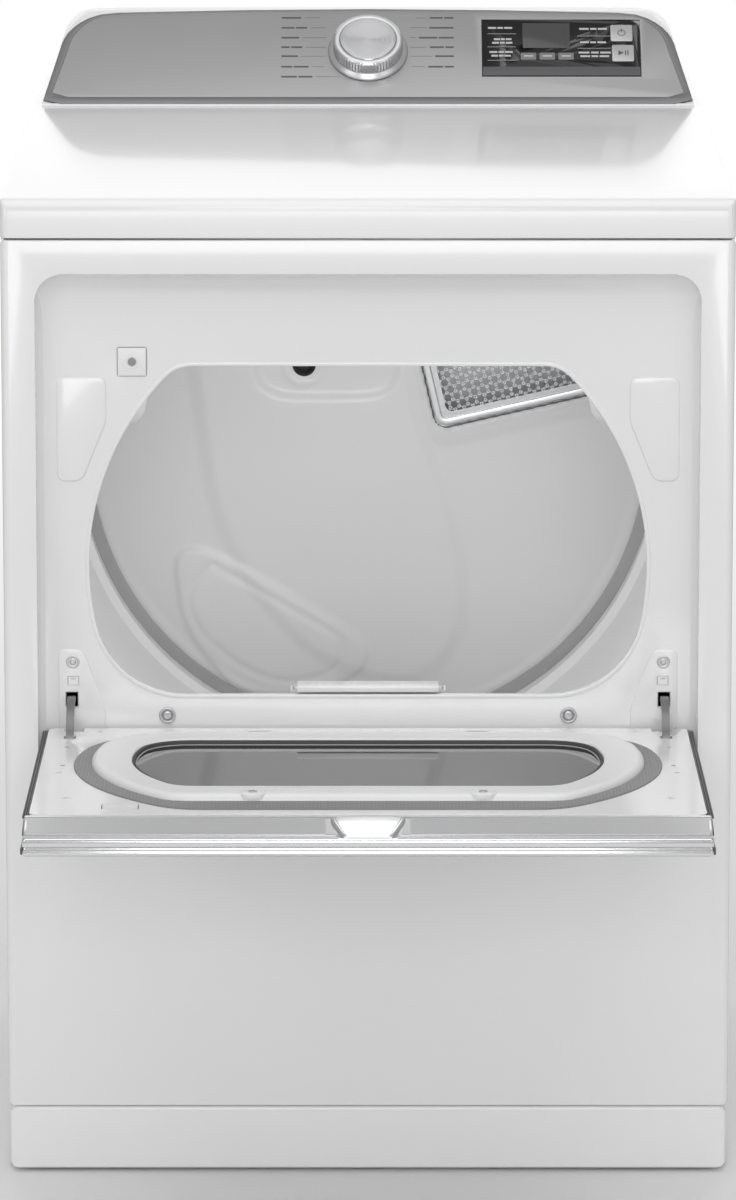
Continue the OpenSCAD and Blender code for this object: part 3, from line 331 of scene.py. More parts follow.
def loft(base: Matrix, rows: Sequence[Loop], hollow: bool = False) -> Thing:
    """Draws a closed loop out through further loops into one solid.

    Args:
        base: the frame that the loops are given in.
        rows: loops of the same number of points.
        hollow: True for a ring, whose last loop joins the first.

    Returns:
        The solid.
    """
    places = [[base @ Vector(p) for p in row] for row in rows]
    deselect()
    bpy.ops.mesh.primitive_circle_add(vertices=len(rows[0]), radius=1,
                                      fill_type="NOTHING" if hollow else "NGON")
    obj = bpy.context.object
    where = {}
    for i, v in enumerate(obj.data.vertices):
        v.co = places[0][i]
        where[tuple(v.co)] = i
    with editing(obj):
        bpy.ops.mesh.select_all(action="SELECT")
        for row in places[1:] + ([places[0]] if hollow else []):
            bpy.ops.mesh.extrude_region_move()
            mesh = bmesh.from_edit_mesh(obj.data)
            fresh = {}
            for v in mesh.verts:
                if v.select:
                    i = where[tuple(v.co)]
                    v.co = row[i]
                    fresh[tuple(v.co)] = i
            where = fresh
            bmesh.update_edit_mesh(obj.data)
        bpy.ops.mesh.select_all(action="SELECT")
        bpy.ops.mesh.remove_doubles(threshold=2e-7)
        bpy.ops.mesh.normals_make_consistent(inside=False)
    return obj


def level(outline: Flat, depth: float) -> Loop:
    """An outline at one depth, as a loop."""
    return [(a, depth, b) for a, b in outline]


def rim(outline: Flat, at: float, edge: float, way: int, steps: int = 3) -> list[Loop]:
    """Loops that round an outline's edge over.

    Args:
        outline: the outline before the edge.
        at: depth of the face that the edge leads to.
        edge: radius of the edge.
        way: -1 where the face looks to lower depths, and 1 where to higher.
        steps: loops in the quarter turn.

    Returns:
        The loops, the last on the face.
    """
    turns = [math.pi / 2 * k / steps for k in range(steps + 1)]
    return [level(inset(outline, edge * (1 - math.cos(t))), at + way * edge * (math.sin(t) - 1))
            for t in turns]


def pad(base: Matrix, outline: Flat, back: float, front: float, edge: float = 0.5) -> Thing:
    """A solid pad from one depth to another, with its front edge rounded."""
    way = -1 if front < back else 1
    return loft(base, [level(outline, back)] + rim(outline, front, edge, way))


def band(base: Matrix, outer: Flat, inner: Flat, back: float, front: float,
         edge: float = 0.5) -> Thing:
    """A ring with its front edges rounded.

    Args:
        base: the frame.
        outer, inner: its two outlines, of as many points.
        back, front: depths of its two faces.
        edge: radius of its front edges.

    Returns:
        The ring.
    """
    way = -1 if front < back else 1
    out = [level(outer, back)] + rim(outer, front, edge, way)
    inn = [level(inset(inner, -edge * (1 - math.cos(t))), front + way * edge * (math.sin(t) - 1))
           for t in (math.pi / 2, math.pi / 3, math.pi / 6, 0)] + [level(inner, back)]
    return loft(base, out + inn, hollow=True)


def bar(base: Matrix, lo: Sequence[float], hi: Sequence[float], edge: float = 0.5) -> Thing:
    """A block.

    Args:
        base: the frame.
        lo, hi: its two far corners.
        edge: width of the rounding of its edges, 0 for sharp ones.

    Returns:
        The block.
    """
    deselect()
    bpy.ops.mesh.primitive_cube_add(size=1)
    obj = bpy.context.object
    for v in obj.data.vertices:
        v.co = base @ Vector([lo[i] if v.co[i] < 0 else hi[i] for i in range(3)])
    with editing(obj):
        bpy.ops.mesh.select_all(action="SELECT")
        bpy.ops.mesh.normals_make_consistent(inside=False)
        if edge:
            bpy.ops.mesh.bevel(offset=edge * MM, segments=2, affect="EDGES")
    return obj


def joined(things: Sequence[Thing]) -> Thing:
    """Joins several objects.

    Args:
        things: the objects.

    Returns:
        The first, which holds them all.
    """
    if len(things) > 1:
        pick(*things)
        bpy.ops.object.join()
    return things[0]


def cut(obj: Thing, cutter: Thing) -> Thing:
    """Takes one solid away from another.

    Args:
        obj: the solid that stays.
        cutter: the solid that is taken away and removed.

    Returns:
        What is left.
    """
    applied(obj, "BOOLEAN", operation="DIFFERENCE", object=cutter, solver="EXACT")
    bpy.data.objects.remove(cutter)
    return obj


def moved(obj: Thing, across: float = 0, depth: float = 0, up: float = 0,
          base: Matrix = CABINET) -> Thing:
    """A moved copy with its own mesh.

    Args:
        obj: the object.
        across, depth, up: how far the copy is moved.
        base: the frame that it is moved in.

    Returns:
        The copy.
    """
    pick(obj)
    bpy.ops.object.duplicate()
    copy = bpy.context.object
    shift = base.to_3x3() @ Vector((across, depth, up))
    copy.data.transform(Matrix.Translation(shift))
    return copy


def mirrored(obj: Thing) -> Thing:
    """Adds a mirror image on the other side.

    Args:
        obj: the object.

    Returns:
        Both sides in one object.
    """
    pick(obj)
    bpy.ops.object.duplicate()
    copy = bpy.context.object
    copy.data.transform(Matrix.Scale(-1, 4, (1, 0, 0)))
    with editing(copy):
        bpy.ops.mesh.select_all(action="SELECT")
        bpy.ops.mesh.flip_normals()
    return joined([obj, copy])


def from_node(node: str) -> Thing:
    """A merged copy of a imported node, to be finished further.

    Args:
        node: the node's name.

    Returns:
        The copy.
    """
    source = frame["nodes"][node]
    pick(source)
    # The drum shell takes the drum enamel painted lighter, as painted light.
    bpy.ops.object.duplicate()
    copy = bpy.context.object
    copy.parent = None
    copy.matrix_world = Matrix.Identity(4)
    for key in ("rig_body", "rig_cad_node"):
        if key in copy:
            del copy[key]
    copy.data.materials.clear()
    with editing(copy):
        bpy.ops.mesh.select_all(action="SELECT")
        bpy.ops.mesh.remove_doubles(threshold=1e-6)
        bpy.ops.mesh.dissolve_limited(angle_limit=math.radians(0.3))
    return copy


def ease(obj: Thing, base: Matrix, test: Callable[[Vector, Vector, Vector], bool], edge: float,
         least: float = 20, steps: int = 3) -> Thing:
    """Rounds the creases that a test picks by their two ends and the way that they face.

    Args:
        obj: the object.
        base: the frame that the ends are given in.
        test: takes an edge's two ends and its mean normal and says whether it is meant.
        edge: width of the rounding, in millimetres.
        least: least angle between the faces, in degrees.
        steps: segments of the rounding.

    Returns:
        The object.
    """
    back = base.inverted()
    with editing(obj):
        bpy.ops.mesh.select_mode(type="EDGE")
        bpy.ops.mesh.select_all(action="DESELECT")
        mesh = bmesh.from_edit_mesh(obj.data)
        for e in mesh.edges:
            if len(e.link_faces) == 2 and e.calc_face_angle(0) > math.radians(least):
                out = (e.link_faces[0].normal + e.link_faces[1].normal).normalized()
                if test(back @ e.verts[0].co, back @ e.verts[1].co, out):
                    e.select = True
        bmesh.update_edit_mesh(obj.data)
        bpy.ops.mesh.bevel(offset=edge * MM, segments=steps, affect="EDGES", clamp_overlap=True)
    return obj


# ---- Finishes ----


class Grain(Enum):
    """What breaks up a surface."""

    PEEL = "the faint ripple of sprayed enamel"
    BRUSHED = "fine lines along X"
    TURNED = "fine rings round the knob's axis"
    MOULDED = "the fine stipple of moulded plastic"
    ROLLED = "the streaks and spangle of sheet metal"
    WOVEN = "a crossed weave of yarns"
    CAST = "the rough skin of a casting"


@dataclass(frozen=True)
class Finish:
    """One finish: the record's slot that it belongs to, its two tints, its gloss and its grain."""

    name: str
    slot: str
    colour: tuple[float, float, float]
    grain: Grain
    tint: float = 0.94
    metal: float = 0.0
    rough: tuple[float, float] = (0.3, 0.4)
    bump: float = 0.05
    coat: float = 0.0
    see_through: float = 0.0
    sheen: float = 0.0

    def material(self) -> bpy.types.Material:
        """The material for this finish, made once."""
        found = bpy.data.materials.get(self.name)
        return found or self._make()

    def _make(self) -> bpy.types.Material:
        """Builds the node tree.

        Returns:
            The material.
        """
        mat = bpy.data.materials.new(self.name)
        mat.use_nodes = True
        tree = mat.node_tree
        shader = tree.nodes["Principled BSDF"]
        link = tree.links.new

        def node(kind: str, **values: object) -> bpy.types.Node:
            """Adds a node.

            Args:
                kind: the node's type.
                values: what its properties or inputs are set to.

            Returns:
                The node.
            """
            made = tree.nodes.new(kind)
            for key, value in values.items():
                if hasattr(made, key):
                    setattr(made, key, value)
                else:
                    made.inputs[key.replace("_", " ").title()].default_value = value
            return made

        place = node("ShaderNodeTexCoord").outputs["Object"]
        mapping = node("ShaderNodeMapping")
        link(place, mapping.inputs["Vector"])
        streak = {Grain.BRUSHED: (6, 900, 900), Grain.ROLLED: (60, 60, 14)}
        mapping.inputs["Scale"].default_value = streak.get(self.grain, (1, 1, 1))
        fine = {Grain.PEEL: 420.0, Grain.BRUSHED: 1.0, Grain.TURNED: 1.0, Grain.MOULDED: 1600.0,
                Grain.ROLLED: 1.0, Grain.WOVEN: 900.0, Grain.CAST: 500.0}[self.grain]
        noise = node("ShaderNodeTexNoise", Scale=fine, Detail=3.0)
        link(mapping.outputs["Vector"], noise.inputs["Vector"])
        grain = noise.outputs["Fac"]
        if self.grain is Grain.TURNED:
            turn = FACE.to_3x3().normalized().inverted()
            middle = FACE @ Vector((0, 0, Knob.up))
            mapping.inputs["Rotation"].default_value = turn.to_euler()
            mapping.inputs["Location"].default_value = -(turn @ middle)
            rings = node("ShaderNodeTexWave", wave_type="RINGS", rings_direction="Y", Scale=230.0)
            link(mapping.outputs["Vector"], rings.inputs["Vector"])
            grain = rings.outputs["Fac"]
        if self.grain is Grain.WOVEN:
            waves = [node("ShaderNodeTexWave", bands_direction=d, Scale=90.0, Distortion=1.5)
                     for d in ("X", "Y")]
            both = node("ShaderNodeMath", operation="MAXIMUM")
            for k, w in enumerate(waves):
                link(place, w.inputs["Vector"])
                link(w.outputs["Fac"], both.inputs[k])
            grain = both.outputs[0]
        broad = node("ShaderNodeTexNoise", Scale=5.0, Detail=2.0)
        link(place, broad.inputs["Vector"])
        mix = node("ShaderNodeMath", operation="MULTIPLY_ADD")
        link(grain, mix.inputs[0])
        mix.inputs[1].default_value = 0.6
        link(broad.outputs["Fac"], mix.inputs[2])
        spread = node("ShaderNodeMapRange")
        spread.inputs["From Min"].default_value = 0.35
        spread.inputs["From Max"].default_value = 1.25
        link(mix.outputs[0], spread.inputs["Value"])
        ramp = node("ShaderNodeValToRGB")
        ramp.color_ramp.elements[0].color = (*(c * self.tint for c in self.colour), 1)
        ramp.color_ramp.elements[1].color = (*self.colour, 1)
        link(spread.outputs[0], ramp.inputs["Fac"])
        link(ramp.outputs["Color"], shader.inputs["Base Color"])
        gloss = node("ShaderNodeMapRange")
        gloss.inputs["To Min"].default_value, gloss.inputs["To Max"].default_value = self.rough
        link(spread.outputs[0], gloss.inputs["Value"])
        link(gloss.outputs[0], shader.inputs["Roughness"])
        bump = node("ShaderNodeBump", Strength=self.bump, Distance=0.0004)
        link(grain, bump.inputs["Height"])
        link(bump.outputs["Normal"], shader.inputs["Normal"])
        shader.inputs["Metallic"].default_value = self.metal
        shader.inputs["Coat Weight"].default_value = self.coat
        shader.inputs["Coat Roughness"].default_value = 0.08
        shader.inputs["Transmission Weight"].default_value = self.see_through
        shader.inputs["Sheen Weight"].default_value = self.sheen
        return mat


def grey(value: float, cool: float = 0.0) -> tuple[float, float, float]:
    """A grey, a little bluer where cool is set."""
    return value, value, value + cool


# Name, slot, colour and grain; then tint, metal, roughness, bump, coat, see-through and sheen
WHITE = Finish("white enamel", "white_enamel", grey(0.86), Grain.PEEL,
               0.994, 0, (0.2, 0.26), 0.008, 0.5)
DRUM_PAINT = Finish("drum enamel", "grey_enamel", grey(0.72), Grain.PEEL,
                    0.98, 0, (0.32, 0.42), 0.03)
# The drum's grey enamel again, painted lighter for the drum shell: painted light on the shell
# inside the drum.
DRUM_PAINT_PAINTED_LIGHT = Finish("drum enamel with painted light", "grey_enamel", grey(0.90), Grain.PEEL,
                     0.98, 0, (0.3, 0.4), 0.03)
WHITE_PLASTIC = Finish("white plastic", "white_plastic", grey(0.84), Grain.MOULDED,
                       0.98, 0, (0.25, 0.33), 0.03)
DARK_PLASTIC = Finish("dark trim", "dark_plastic", grey(0.10, 0.005), Grain.MOULDED,
                      0.85, 0, (0.4, 0.5), 0.08)
GREY_PLASTIC_AND_SHADE = Finish("grey plastic and painted shade", "grey_plastic", grey(0.30, 0.005), Grain.MOULDED,
                      0.92, 0, (0.4, 0.5), 0.06)
GALVANISED = Finish("galvanised sheet", "galvanised", (0.62, 0.63, 0.64), Grain.ROLLED,
                    0.86, 0.9, (0.34, 0.5), 0.05)
STEEL = Finish("plain steel", "steel", grey(0.60, 0.01), Grain.ROLLED, 0.85, 1.0, (0.25, 0.4), 0.05)
BRUSHED = Finish("brushed console", "satin_metal", grey(0.46, 0.005), Grain.BRUSHED,
                 0.88, 0.85, (0.34, 0.46), 0.06)
DARK_METAL = Finish("dark bevel", "satin_metal", grey(0.22, 0.005), Grain.BRUSHED,
                    0.9, 0.8, (0.3, 0.4), 0.04)
CHROME = Finish("bright rail", "bright_metal", grey(0.82, 0.01), Grain.BRUSHED,
                0.96, 1.0, (0.15, 0.2), 0.0)
SATIN = Finish("satin rail", "satin_metal", grey(0.70, 0.01), Grain.BRUSHED,
               0.95, 1.0, (0.28, 0.36), 0.01)
TURNED = Finish("turned cap", "bright_metal", grey(0.62, 0.01), Grain.TURNED,
                0.8, 1.0, (0.2, 0.3), 0.35)
GRIP = Finish("knurled grip", "bright_metal", grey(0.68, 0.01), Grain.MOULDED,
              0.94, 1.0, (0.16, 0.24), 0.03)
KEY_METAL = Finish("key silver", "key_grey", grey(0.52, 0.005), Grain.BRUSHED,
                   0.92, 0.6, (0.36, 0.46), 0.04)
KEY_GREY = Finish("small key grey", "key_grey", grey(0.20, 0.005), Grain.MOULDED,
                  0.92, 0, (0.35, 0.45), 0.03)
BLACK_GLASS = Finish("black glass", "black_glass", grey(0.004, 0.001), Grain.PEEL,
                     0.8, 0, (0.08, 0.12), 0.0)
SCREEN_GREY = Finish("screen grey", "black_glass", grey(0.07, 0.002), Grain.MOULDED,
                     0.85, 0, (0.15, 0.22), 0.01)
SMOKED = Finish("smoked glass", "tinted_glass", grey(0.03, 0.003), Grain.PEEL,
                0.9, 0, (0.02, 0.03), 0.0, 0.2, 0.08)
PRINT_LIGHT = Finish("light print", "grey_plastic", grey(0.55), Grain.MOULDED,
                     0.9, 0, (0.5, 0.6), 0.01)
PRINT_DARK = Finish("dark print", "dark_plastic", grey(0.10), Grain.MOULDED,
                    0.85, 0, (0.5, 0.6), 0.01)
FELT = Finish("woven felt", "felt", grey(0.27), Grain.WOVEN, 0.55, 0, (0.85, 0.95), 0.8, 0, 0, 0.3)
PALE_FELT = Finish("pale felt", "felt", grey(0.42), Grain.WOVEN,
                   0.8, 0, (0.85, 0.95), 0.3, 0, 0, 0.2)
RUBBER = Finish("rubber", "rubber", grey(0.03), Grain.MOULDED, 0.8, 0, (0.6, 0.75), 0.1)
CAST = Finish("motor paint", "cast_metal", (0.16, 0.17, 0.18), Grain.CAST,
              0.8, 0.2, (0.45, 0.6), 0.2)
BOARD = Finish("circuit board", "grey_plastic", (0.03, 0.12, 0.05), Grain.MOULDED,
               0.8, 0, (0.35, 0.45), 0.05)


def dress(obj: Thing, name: str, finish: Finish, body: str, stands_for: Sequence[str] = (),
          angle: float = 35) -> Thing:
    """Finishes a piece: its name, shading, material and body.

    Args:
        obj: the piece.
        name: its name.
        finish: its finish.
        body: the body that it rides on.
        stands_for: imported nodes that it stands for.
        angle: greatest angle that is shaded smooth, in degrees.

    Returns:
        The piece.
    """
    obj.name = name
    obj.data.name = name
    obj.data.materials.clear()
    obj.data.materials.append(finish.material())
    pick(obj)
    bpy.ops.object.shade_smooth_by_angle(angle=math.radians(angle))
    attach(obj, body)
    if stands_for:
        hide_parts(*stands_for)
    log.info("%s on %s", name, body)
    return obj


# ---- Cabinet ----


@dataclass
class Cabinet:
    """The sheet-metal cabinet's outside: front panel, top panel, toe panel and what is pressed
    into the recess round the door opening."""

    opening: Opening = field(default_factory=Opening)
    pad_rise: float = 1.6
    recess_half: float = 334.5
    recess_low: float = 429.0
    recess_high: float = 936.0
    catch: tuple[float, float] = (-238.0, 842.0)
    catch_side: float = 28.4
    slot_across: tuple[float, float] = (-308.0, -294.0)
    tab_middle: tuple[float, float] = (-299.5, 512.7)
    rear_screw_across: float = 356.5
    rear_screw_first: float = 60.0
    rear_screw_pitch: float = 218.0
    rear_screw_top: float = 702.4

    def build(self) -> None:
        """Makes every piece of the cabinet's front and top."""
        self._front_panel()
        self._top_panel()
        self._toe_panel()
        self._pads()
        self._bead()
        self._catch()
        self._screws()

    def _front_panel(self) -> None:
        """The front panel with the recess's creases drawn round."""
        panel = from_node("front_panel")

        def creases(a: Vector, b: Vector, out: Vector) -> bool:
            """The creases of the recess, on the outer skin."""
            inside = max(abs(a.x), abs(b.x)) < self.recess_half + 1 and \
                self.recess_low - 1 < min(a.z, b.z) and max(a.z, b.z) < self.recess_high + 1
            return inside and max(a.y, b.y) < RECESS_DEPTH + 0.2 and out.y < -0.2

        def edges(a: Vector, b: Vector, out: Vector) -> bool:
            """The panel's own upper and lower edges."""
            low, high = min(a.z, b.z), max(a.z, b.z)
            return max(a.y, b.y) < 4 and (high < 80 or low > 960) and out.y < -0.3

        ease(panel, CABINET, creases, 4.5, 25, 4)
        ease(panel, CABINET, edges, 1.5)
        dress(panel, "front_panel_skin", WHITE, "cabinet", ["front_panel"])

    def _top_panel(self) -> None:
        """The top panel with its long side edges drawn round."""
        panel = from_node("top_panel")
        ease(panel, CABINET, lambda a, b, out: min(a.z, b.z) > 985 and min(abs(a.x), abs(b.x)) > 335
             and out.z > 0.3, 5.0, 25, 4)
        dress(panel, "top_panel_skin", WHITE, "cabinet", ["top_panel"])

    def _toe_panel(self) -> None:
        """The toe panel with a soft front edge."""
        panel = from_node("toe_panel")
        ease(panel, CABINET, lambda a, b, out: max(a.y, b.y) < 2.2 and out.y < -0.3, 3.0, 25)
        dress(panel, "toe_panel_skin", WHITE, "cabinet", ["toe_panel"])

    def _pads(self) -> None:
        """The embossed pads beside the opening and above the hinges, with their tabs."""
        upper = softened([(-314.5, 826), (-264.5, 826), (-264, 781), (-289, 719), (-314.5, 719)], 9)
        hinge = softened([(-314.5, 545), (-289.5, 545), (-266.5, 484), (-266.5, 436),
                          (-314.5, 436)], 8)
        deep = RECESS_DEPTH
        for name, outline in (("recess_pads", upper), ("hinge_pads", hinge)):
            made = mirrored(pad(CABINET, outline, deep + 0.3, deep - self.pad_rise, 1.5))
            if name == "hinge_pads":
                near, far = self.slot_across
                slot = bar(CABINET, (near, deep - 4, 484), (far, deep + 4, 501), 0)
                made = cut(cut(made, moved(slot, across=-near - far)), slot)
            dress(made, name, WHITE, "cabinet")
        x, z = self.tab_middle
        tab = band(CABINET, rounded(12, 10, 1.2, x, z), rounded(10, 8, 0.8, x, z), deep - 1.4,
                   deep - 2.2, 0.3)
        hook = pad(CABINET, rounded(5, 1.6, 0.6, x, z + 1.9), deep - 1.4, deep - 2.0, 0.3)
        dress(mirrored(joined([tab, hook])), "hinge_pad_tabs", STEEL, "cabinet")

    def _bead(self) -> None:
        """The rolled bead round the door opening."""
        outer, inner = self.opening.outline(6.4), self.opening.outline(2.4)
        dress(band(CABINET, outer, inner, RECESS_DEPTH + 1.2, RECESS_DEPTH - 0.9, 0.85),
              "opening_bead", WHITE, "cabinet")

    def _catch(self) -> None:
        """The catch's square plate with its round seat, and a painted shadow line round it."""
        (x, z), side, deep = self.catch, self.catch_side, RECESS_DEPTH
        plate = pad(CABINET, rounded(side, side, 1.6, x, z), deep - 0.2, deep - 1.6, 0.5)
        plate = cut(plate, pad(CABINET, disc(4.4, 32, x, z), deep + 2, deep - 4, 0.1))
        boss = band(CABINET, disc(7.5, 40, x, z), disc(4.6, 40, x, z), deep - 1.2, deep - 2.1, 0.4)
        dress(joined([plate, boss]), "door_catch_plate", WHITE_PLASTIC, "cabinet")
        # A grey band round the plate: painted shadow in the gap round the catch.
        line = band(CABINET, rounded(side + 2, side + 2, 2.4, x, z),
                    rounded(side + 0.2, side + 0.2, 1.7, x, z), deep + 0.1, deep - 0.25, 0.1)
        dress(line, "door_catch_shadow_line", GREY_PLASTIC_AND_SHADE, "cabinet")

    def _screws(self) -> None:
        """Screws with a recessed cross: in the recess and round the rear panel."""
        front = []
        for x, z, r in ((-204, 476, 5.0), (-300, 532, 3.6)):
            dimple = band(CABINET, disc(r + 3.4, 40, x, z), disc(r + 0.6, 40, x, z),
                          RECESS_DEPTH + 0.2, RECESS_DEPTH - self.pad_rise - 0.4, 0.8)
            front.append(joined([dimple, self.screw(x, z, r, RECESS_DEPTH - 2.4, -1)]))
        dress(mirrored(joined(front)), "recess_screws", STEEL, "cabinet")
        rear = [self.screw(side * self.rear_screw_across,
                           self.rear_screw_first + i * self.rear_screw_pitch, 4.4,
                           self.rear_screw_top, 1) for side in (-1, 1) for i in range(5)]
        dress(joined(rear), "rear_panel_screws", STEEL, "cabinet", ["panel_screws"])

    @staticmethod
    def screw(x: float, z: float, r: float, top: float, way: int, base: Matrix = CABINET) -> Thing:
        """A pan-head screw with a cross in its head.

        Args:
            x, z: its middle.
            r: radius of its head.
            top: depth of the head's top.
            way: -1 where it looks to lower depths, and 1 where to higher.
            base: the frame.

        Returns:
            The screw.
        """
        head = pad(base, disc(r, 32, x, z), top - way * 2.4, top, r * 0.32)
        near, far = sorted((top + way * 0.2, top - way * 1.1))
        for wide, high in ((r * 1.1, r * 0.3), (r * 0.3, r * 1.1)):
            head = cut(head, bar(base, (x - wide / 2, near, z - high / 2),
                                 (x + wide / 2, far, z + high / 2), 0))
        return head


# ---- Console ----


@dataclass
class Console:
    """The slanted console: brushed face, dark bevel, printed marks, display, knob and housing."""

    foot: float = 350.5
    length: float = 141.0
    lean: float = 17.0
    corner: float = 62.0
    crown: float = 5.0
    plate: float = 2.0
    middle: float = 62.0
    panel: tuple[float, float, float, float] = (122.6, 40.6, 294.4, 124.4)

    def outline(self, side: float, low: float, top: float) -> Flat:
        """The face's outline, drawn in by margins.

        Args:
            side, low, top: the margins at its sides, foot and top.

        Returns:
            The outline.
        """
        foot, r = self.foot - side, self.corner - side
        cx, cv = self.foot - self.lean - self.corner, self.length - self.crown - self.corner
        head = arc(cx, cv, r, 8, 82, 10)
        head = [(u, v - (top - side) * max(0.0, (v - cv) / r)) for u, v in head]
        right = [(foot, low)] + head + [(cx * 0.5, self.length - top - self.crown * 0.3)]
        return right + [(0, self.length - top)] + [(-u, v) for u, v in reversed(right)]

    def build(self) -> None:
        """Makes the console's pieces."""
        front = -self.plate
        face = pad(FACE, rays(self.outline(2, 2, 2), 240, 0, self.middle), 0, front, 0.8)
        u0, v0, u1, v1 = self.panel
        face = cut(face, bar(FACE, (u0, -9, v0), (u1, 5, v1), 0))
        dress(face, "console_face", BRUSHED, "cabinet", ["console_fascia"])
        outer, inner = (rays(o, 240, 0, self.middle) for o in (self.outline(1, 1.0, 1.2),
                                                               self.outline(10, 11, 3.2)))
        bevel = band(FACE, outer, inner, 0.5, front - 0.45, 0.5)
        dress(bevel, "console_bevel", DARK_METAL, "cabinet")
        section = ((-1.2, 0.1), (-1.0, 1.6), (0.6, 2.6), (3.2, 1.6), (3.4, 0.2))
        lip = loft(CABINET, [[(x, CONSOLE_DEPTH + d, CONSOLE_HEIGHT + h) for d, h in section]
                             for x in (-349.5, -348, 348, 349.5)])
        dress(lip, "console_foot_lip", WHITE_PLASTIC, "cabinet")
        self._marks(front)
        Display().build()
        Knob().build()
        shell = from_node("console_housing")
        ease(shell, CABINET, lambda a, b, out: min(a.y, b.y) > 625 and min(a.z, b.z) > 1090
             and out.z > 0.2, 5.0, 18, 4)
        dress(shell, "console_shell", WHITE_PLASTIC, "cabinet", ["console_housing"])

    def _marks(self, front: float) -> None:
        """Generic printed marks for the cycles, each with a fine line to the knob.

        Args:
            front: depth of the console's face.
        """
        marks = []

        def dash(u0: float, u1: float, v: float, high: float) -> None:
            """One flat mark."""
            marks.append(bar(FACE, (min(u0, u1), front - 0.12, v - high / 2),
                             (max(u0, u1), front + 0.2, v + high / 2), 0))

        def words(u: float, v: float, lengths: Sequence[float], way: int) -> float:
            """A row of short marks.

            Args:
                u, v: where it starts.
                lengths: the marks' lengths.
                way: 1 to the right and -1 to the left.

            Returns:
                Where it ends.
            """
            for n in lengths:
                dash(u, u + way * n, v, 2.3)
                u += way * (n + 1.6)
            return u

        left = ((127, (21,), 52), (112.3, (14, 12), 46), (97.7, (19,), 45), (83.7, (9, 12), 45),
                (70.5, (18,), 46), (55.1, (12, 16), 47), (40.5, (17, 15), 30))
        for v, lengths, stop in left:
            end = words(-93.5, v, lengths, 1)
            dash(end + 2, -stop, v, 0.35)
        right = ((127, (10, 14), 52), (112.3, (26,), 46), (97.7, (16, 20), 45), (83.7, (9, 15), 45),
                 (70.5, (20,), 46), (55.1, (10, 16), 47))
        for v, lengths, stop in right:
            end = words(92.5, v, lengths, -1)
            dash(end - 2, stop, v, 0.35)
        dress(joined(marks), "cycle_marks", PRINT_DARK, "cabinet")


@dataclass
class Display:
    """The black display: its screen, printed marks and keys."""

    front: float = -2.6
    key_top: float = -3.55

    def build(self) -> None:
        """Makes the display's pieces."""
        f = self.front
        glass = from_node("display_glass")
        dress(glass, "display_cover", BLACK_GLASS, "cabinet", ["display_glass"], angle=6)
        dress(pad(FACE, rounded(51, 36.5, 0.8, 192.5, 100.3), f + 0.3, f - 0.12, 0.1),
              "display_screen", SCREEN_GREY, "cabinet")
        dress(pad(FACE, rounded(169.5, 12.6, 1, 208.5, 48.2), f + 0.3, f - 0.25, 0.2),
              "display_foot_band", DARK_PLASTIC, "cabinet")
        rows = ((129.8, 156, 111.5), (136, 155, 94.8), (134, 156, 89.6), (131, 156, 76),
                (133, 154, 70.6), (228.5, 258.5, 110), (229, 257, 90.3), (227, 262, 75.2),
                (229, 260, 69.9))
        prints = [self._dashes(u0, u1, v, 2.6) for u0, u1, v in rows]
        for u0, u1, v in ((129, 160, 102.8), (129, 160, 83.6), (129, 160, 63.9),
                          (226, 262, 99.5), (226, 262, 81.5)):
            prints.append(self._dash(u0, u1, v, 0.45))
        dress(joined(prints), "display_marks", PRINT_LIGHT, "cabinet")
        self._keys()

    def _dash(self, u0: float, u1: float, v: float, high: float) -> Thing:
        """One flat mark."""
        f = self.front
        return bar(FACE, (u0, f - 0.12, v - high / 2), (u1, f + 0.2, v + high / 2), 0)

    def _dashes(self, u0: float, u1: float, v: float, high: float) -> Thing:
        """A row of three short marks of unlike length.

        Args:
            u0, u1: its two ends.
            v: its height on the face.
            high: the marks' height.

        Returns:
            The row.
        """
        span = u1 - u0
        ends = ((0, 0.34), (0.39, 0.62), (0.67, 1))
        return joined([self._dash(u0 + a * span, u0 + b * span, v, high) for a, b in ends])

    def _keys(self) -> None:
        """The five keys and the marks on them."""
        top = self.key_top
        ink = top - 0.12
        for name, body, u, v in (("power_key", "power_button", 274.0, 103.5),
                                 ("start_key", "start_button", 275.0, 74)):
            cap = pad(FACE, rounded(24, 24, 2.2, u, v), 7.8, top, 0.7)
            dress(cap, name + "_cap", KEY_METAL, body, [name])
            if name == "power_key":
                marks = [band(FACE, disc(4.4, 32, u, v), disc(3.5, 32, u, v), top + 0.1, ink, 0.05),
                         bar(FACE, (u - 0.5, top - 0.14, v + 1), (u + 0.5, top + 0.1, v + 6), 0)]
            else:
                arrow = [(u - 5, v + 3.6), (u - 5, v - 3.6), (u + 1, v)]
                marks = [pad(FACE, arrow, top + 0.1, ink, 0.05)]
                marks += [bar(FACE, (u + a, ink, v - 3.4), (u + a + 1.3, top + 0.1, v + 3.4), 0)
                          for a in (2.0, 4.6)]
            dress(joined(marks), name + "_symbol", PRINT_DARK, body)
        for i in range(3):
            u, v, body = 173 + 20.3 * i, 69.5, f"option_button_{i + 1}"
            cap = pad(FACE, rounded(17, 10, 1.1, u, v), 5.8, top, 0.5)
            dress(cap, f"option_key_cap_{i + 1}", KEY_GREY, body, [f"option_key_{i + 1}"])
            mark = bar(FACE, (u - 5, top - 0.1, v - 1), (u + 5, top + 0.1, v + 1), 0)
            dress(mark, f"option_key_mark_{i + 1}", PRINT_LIGHT, body)


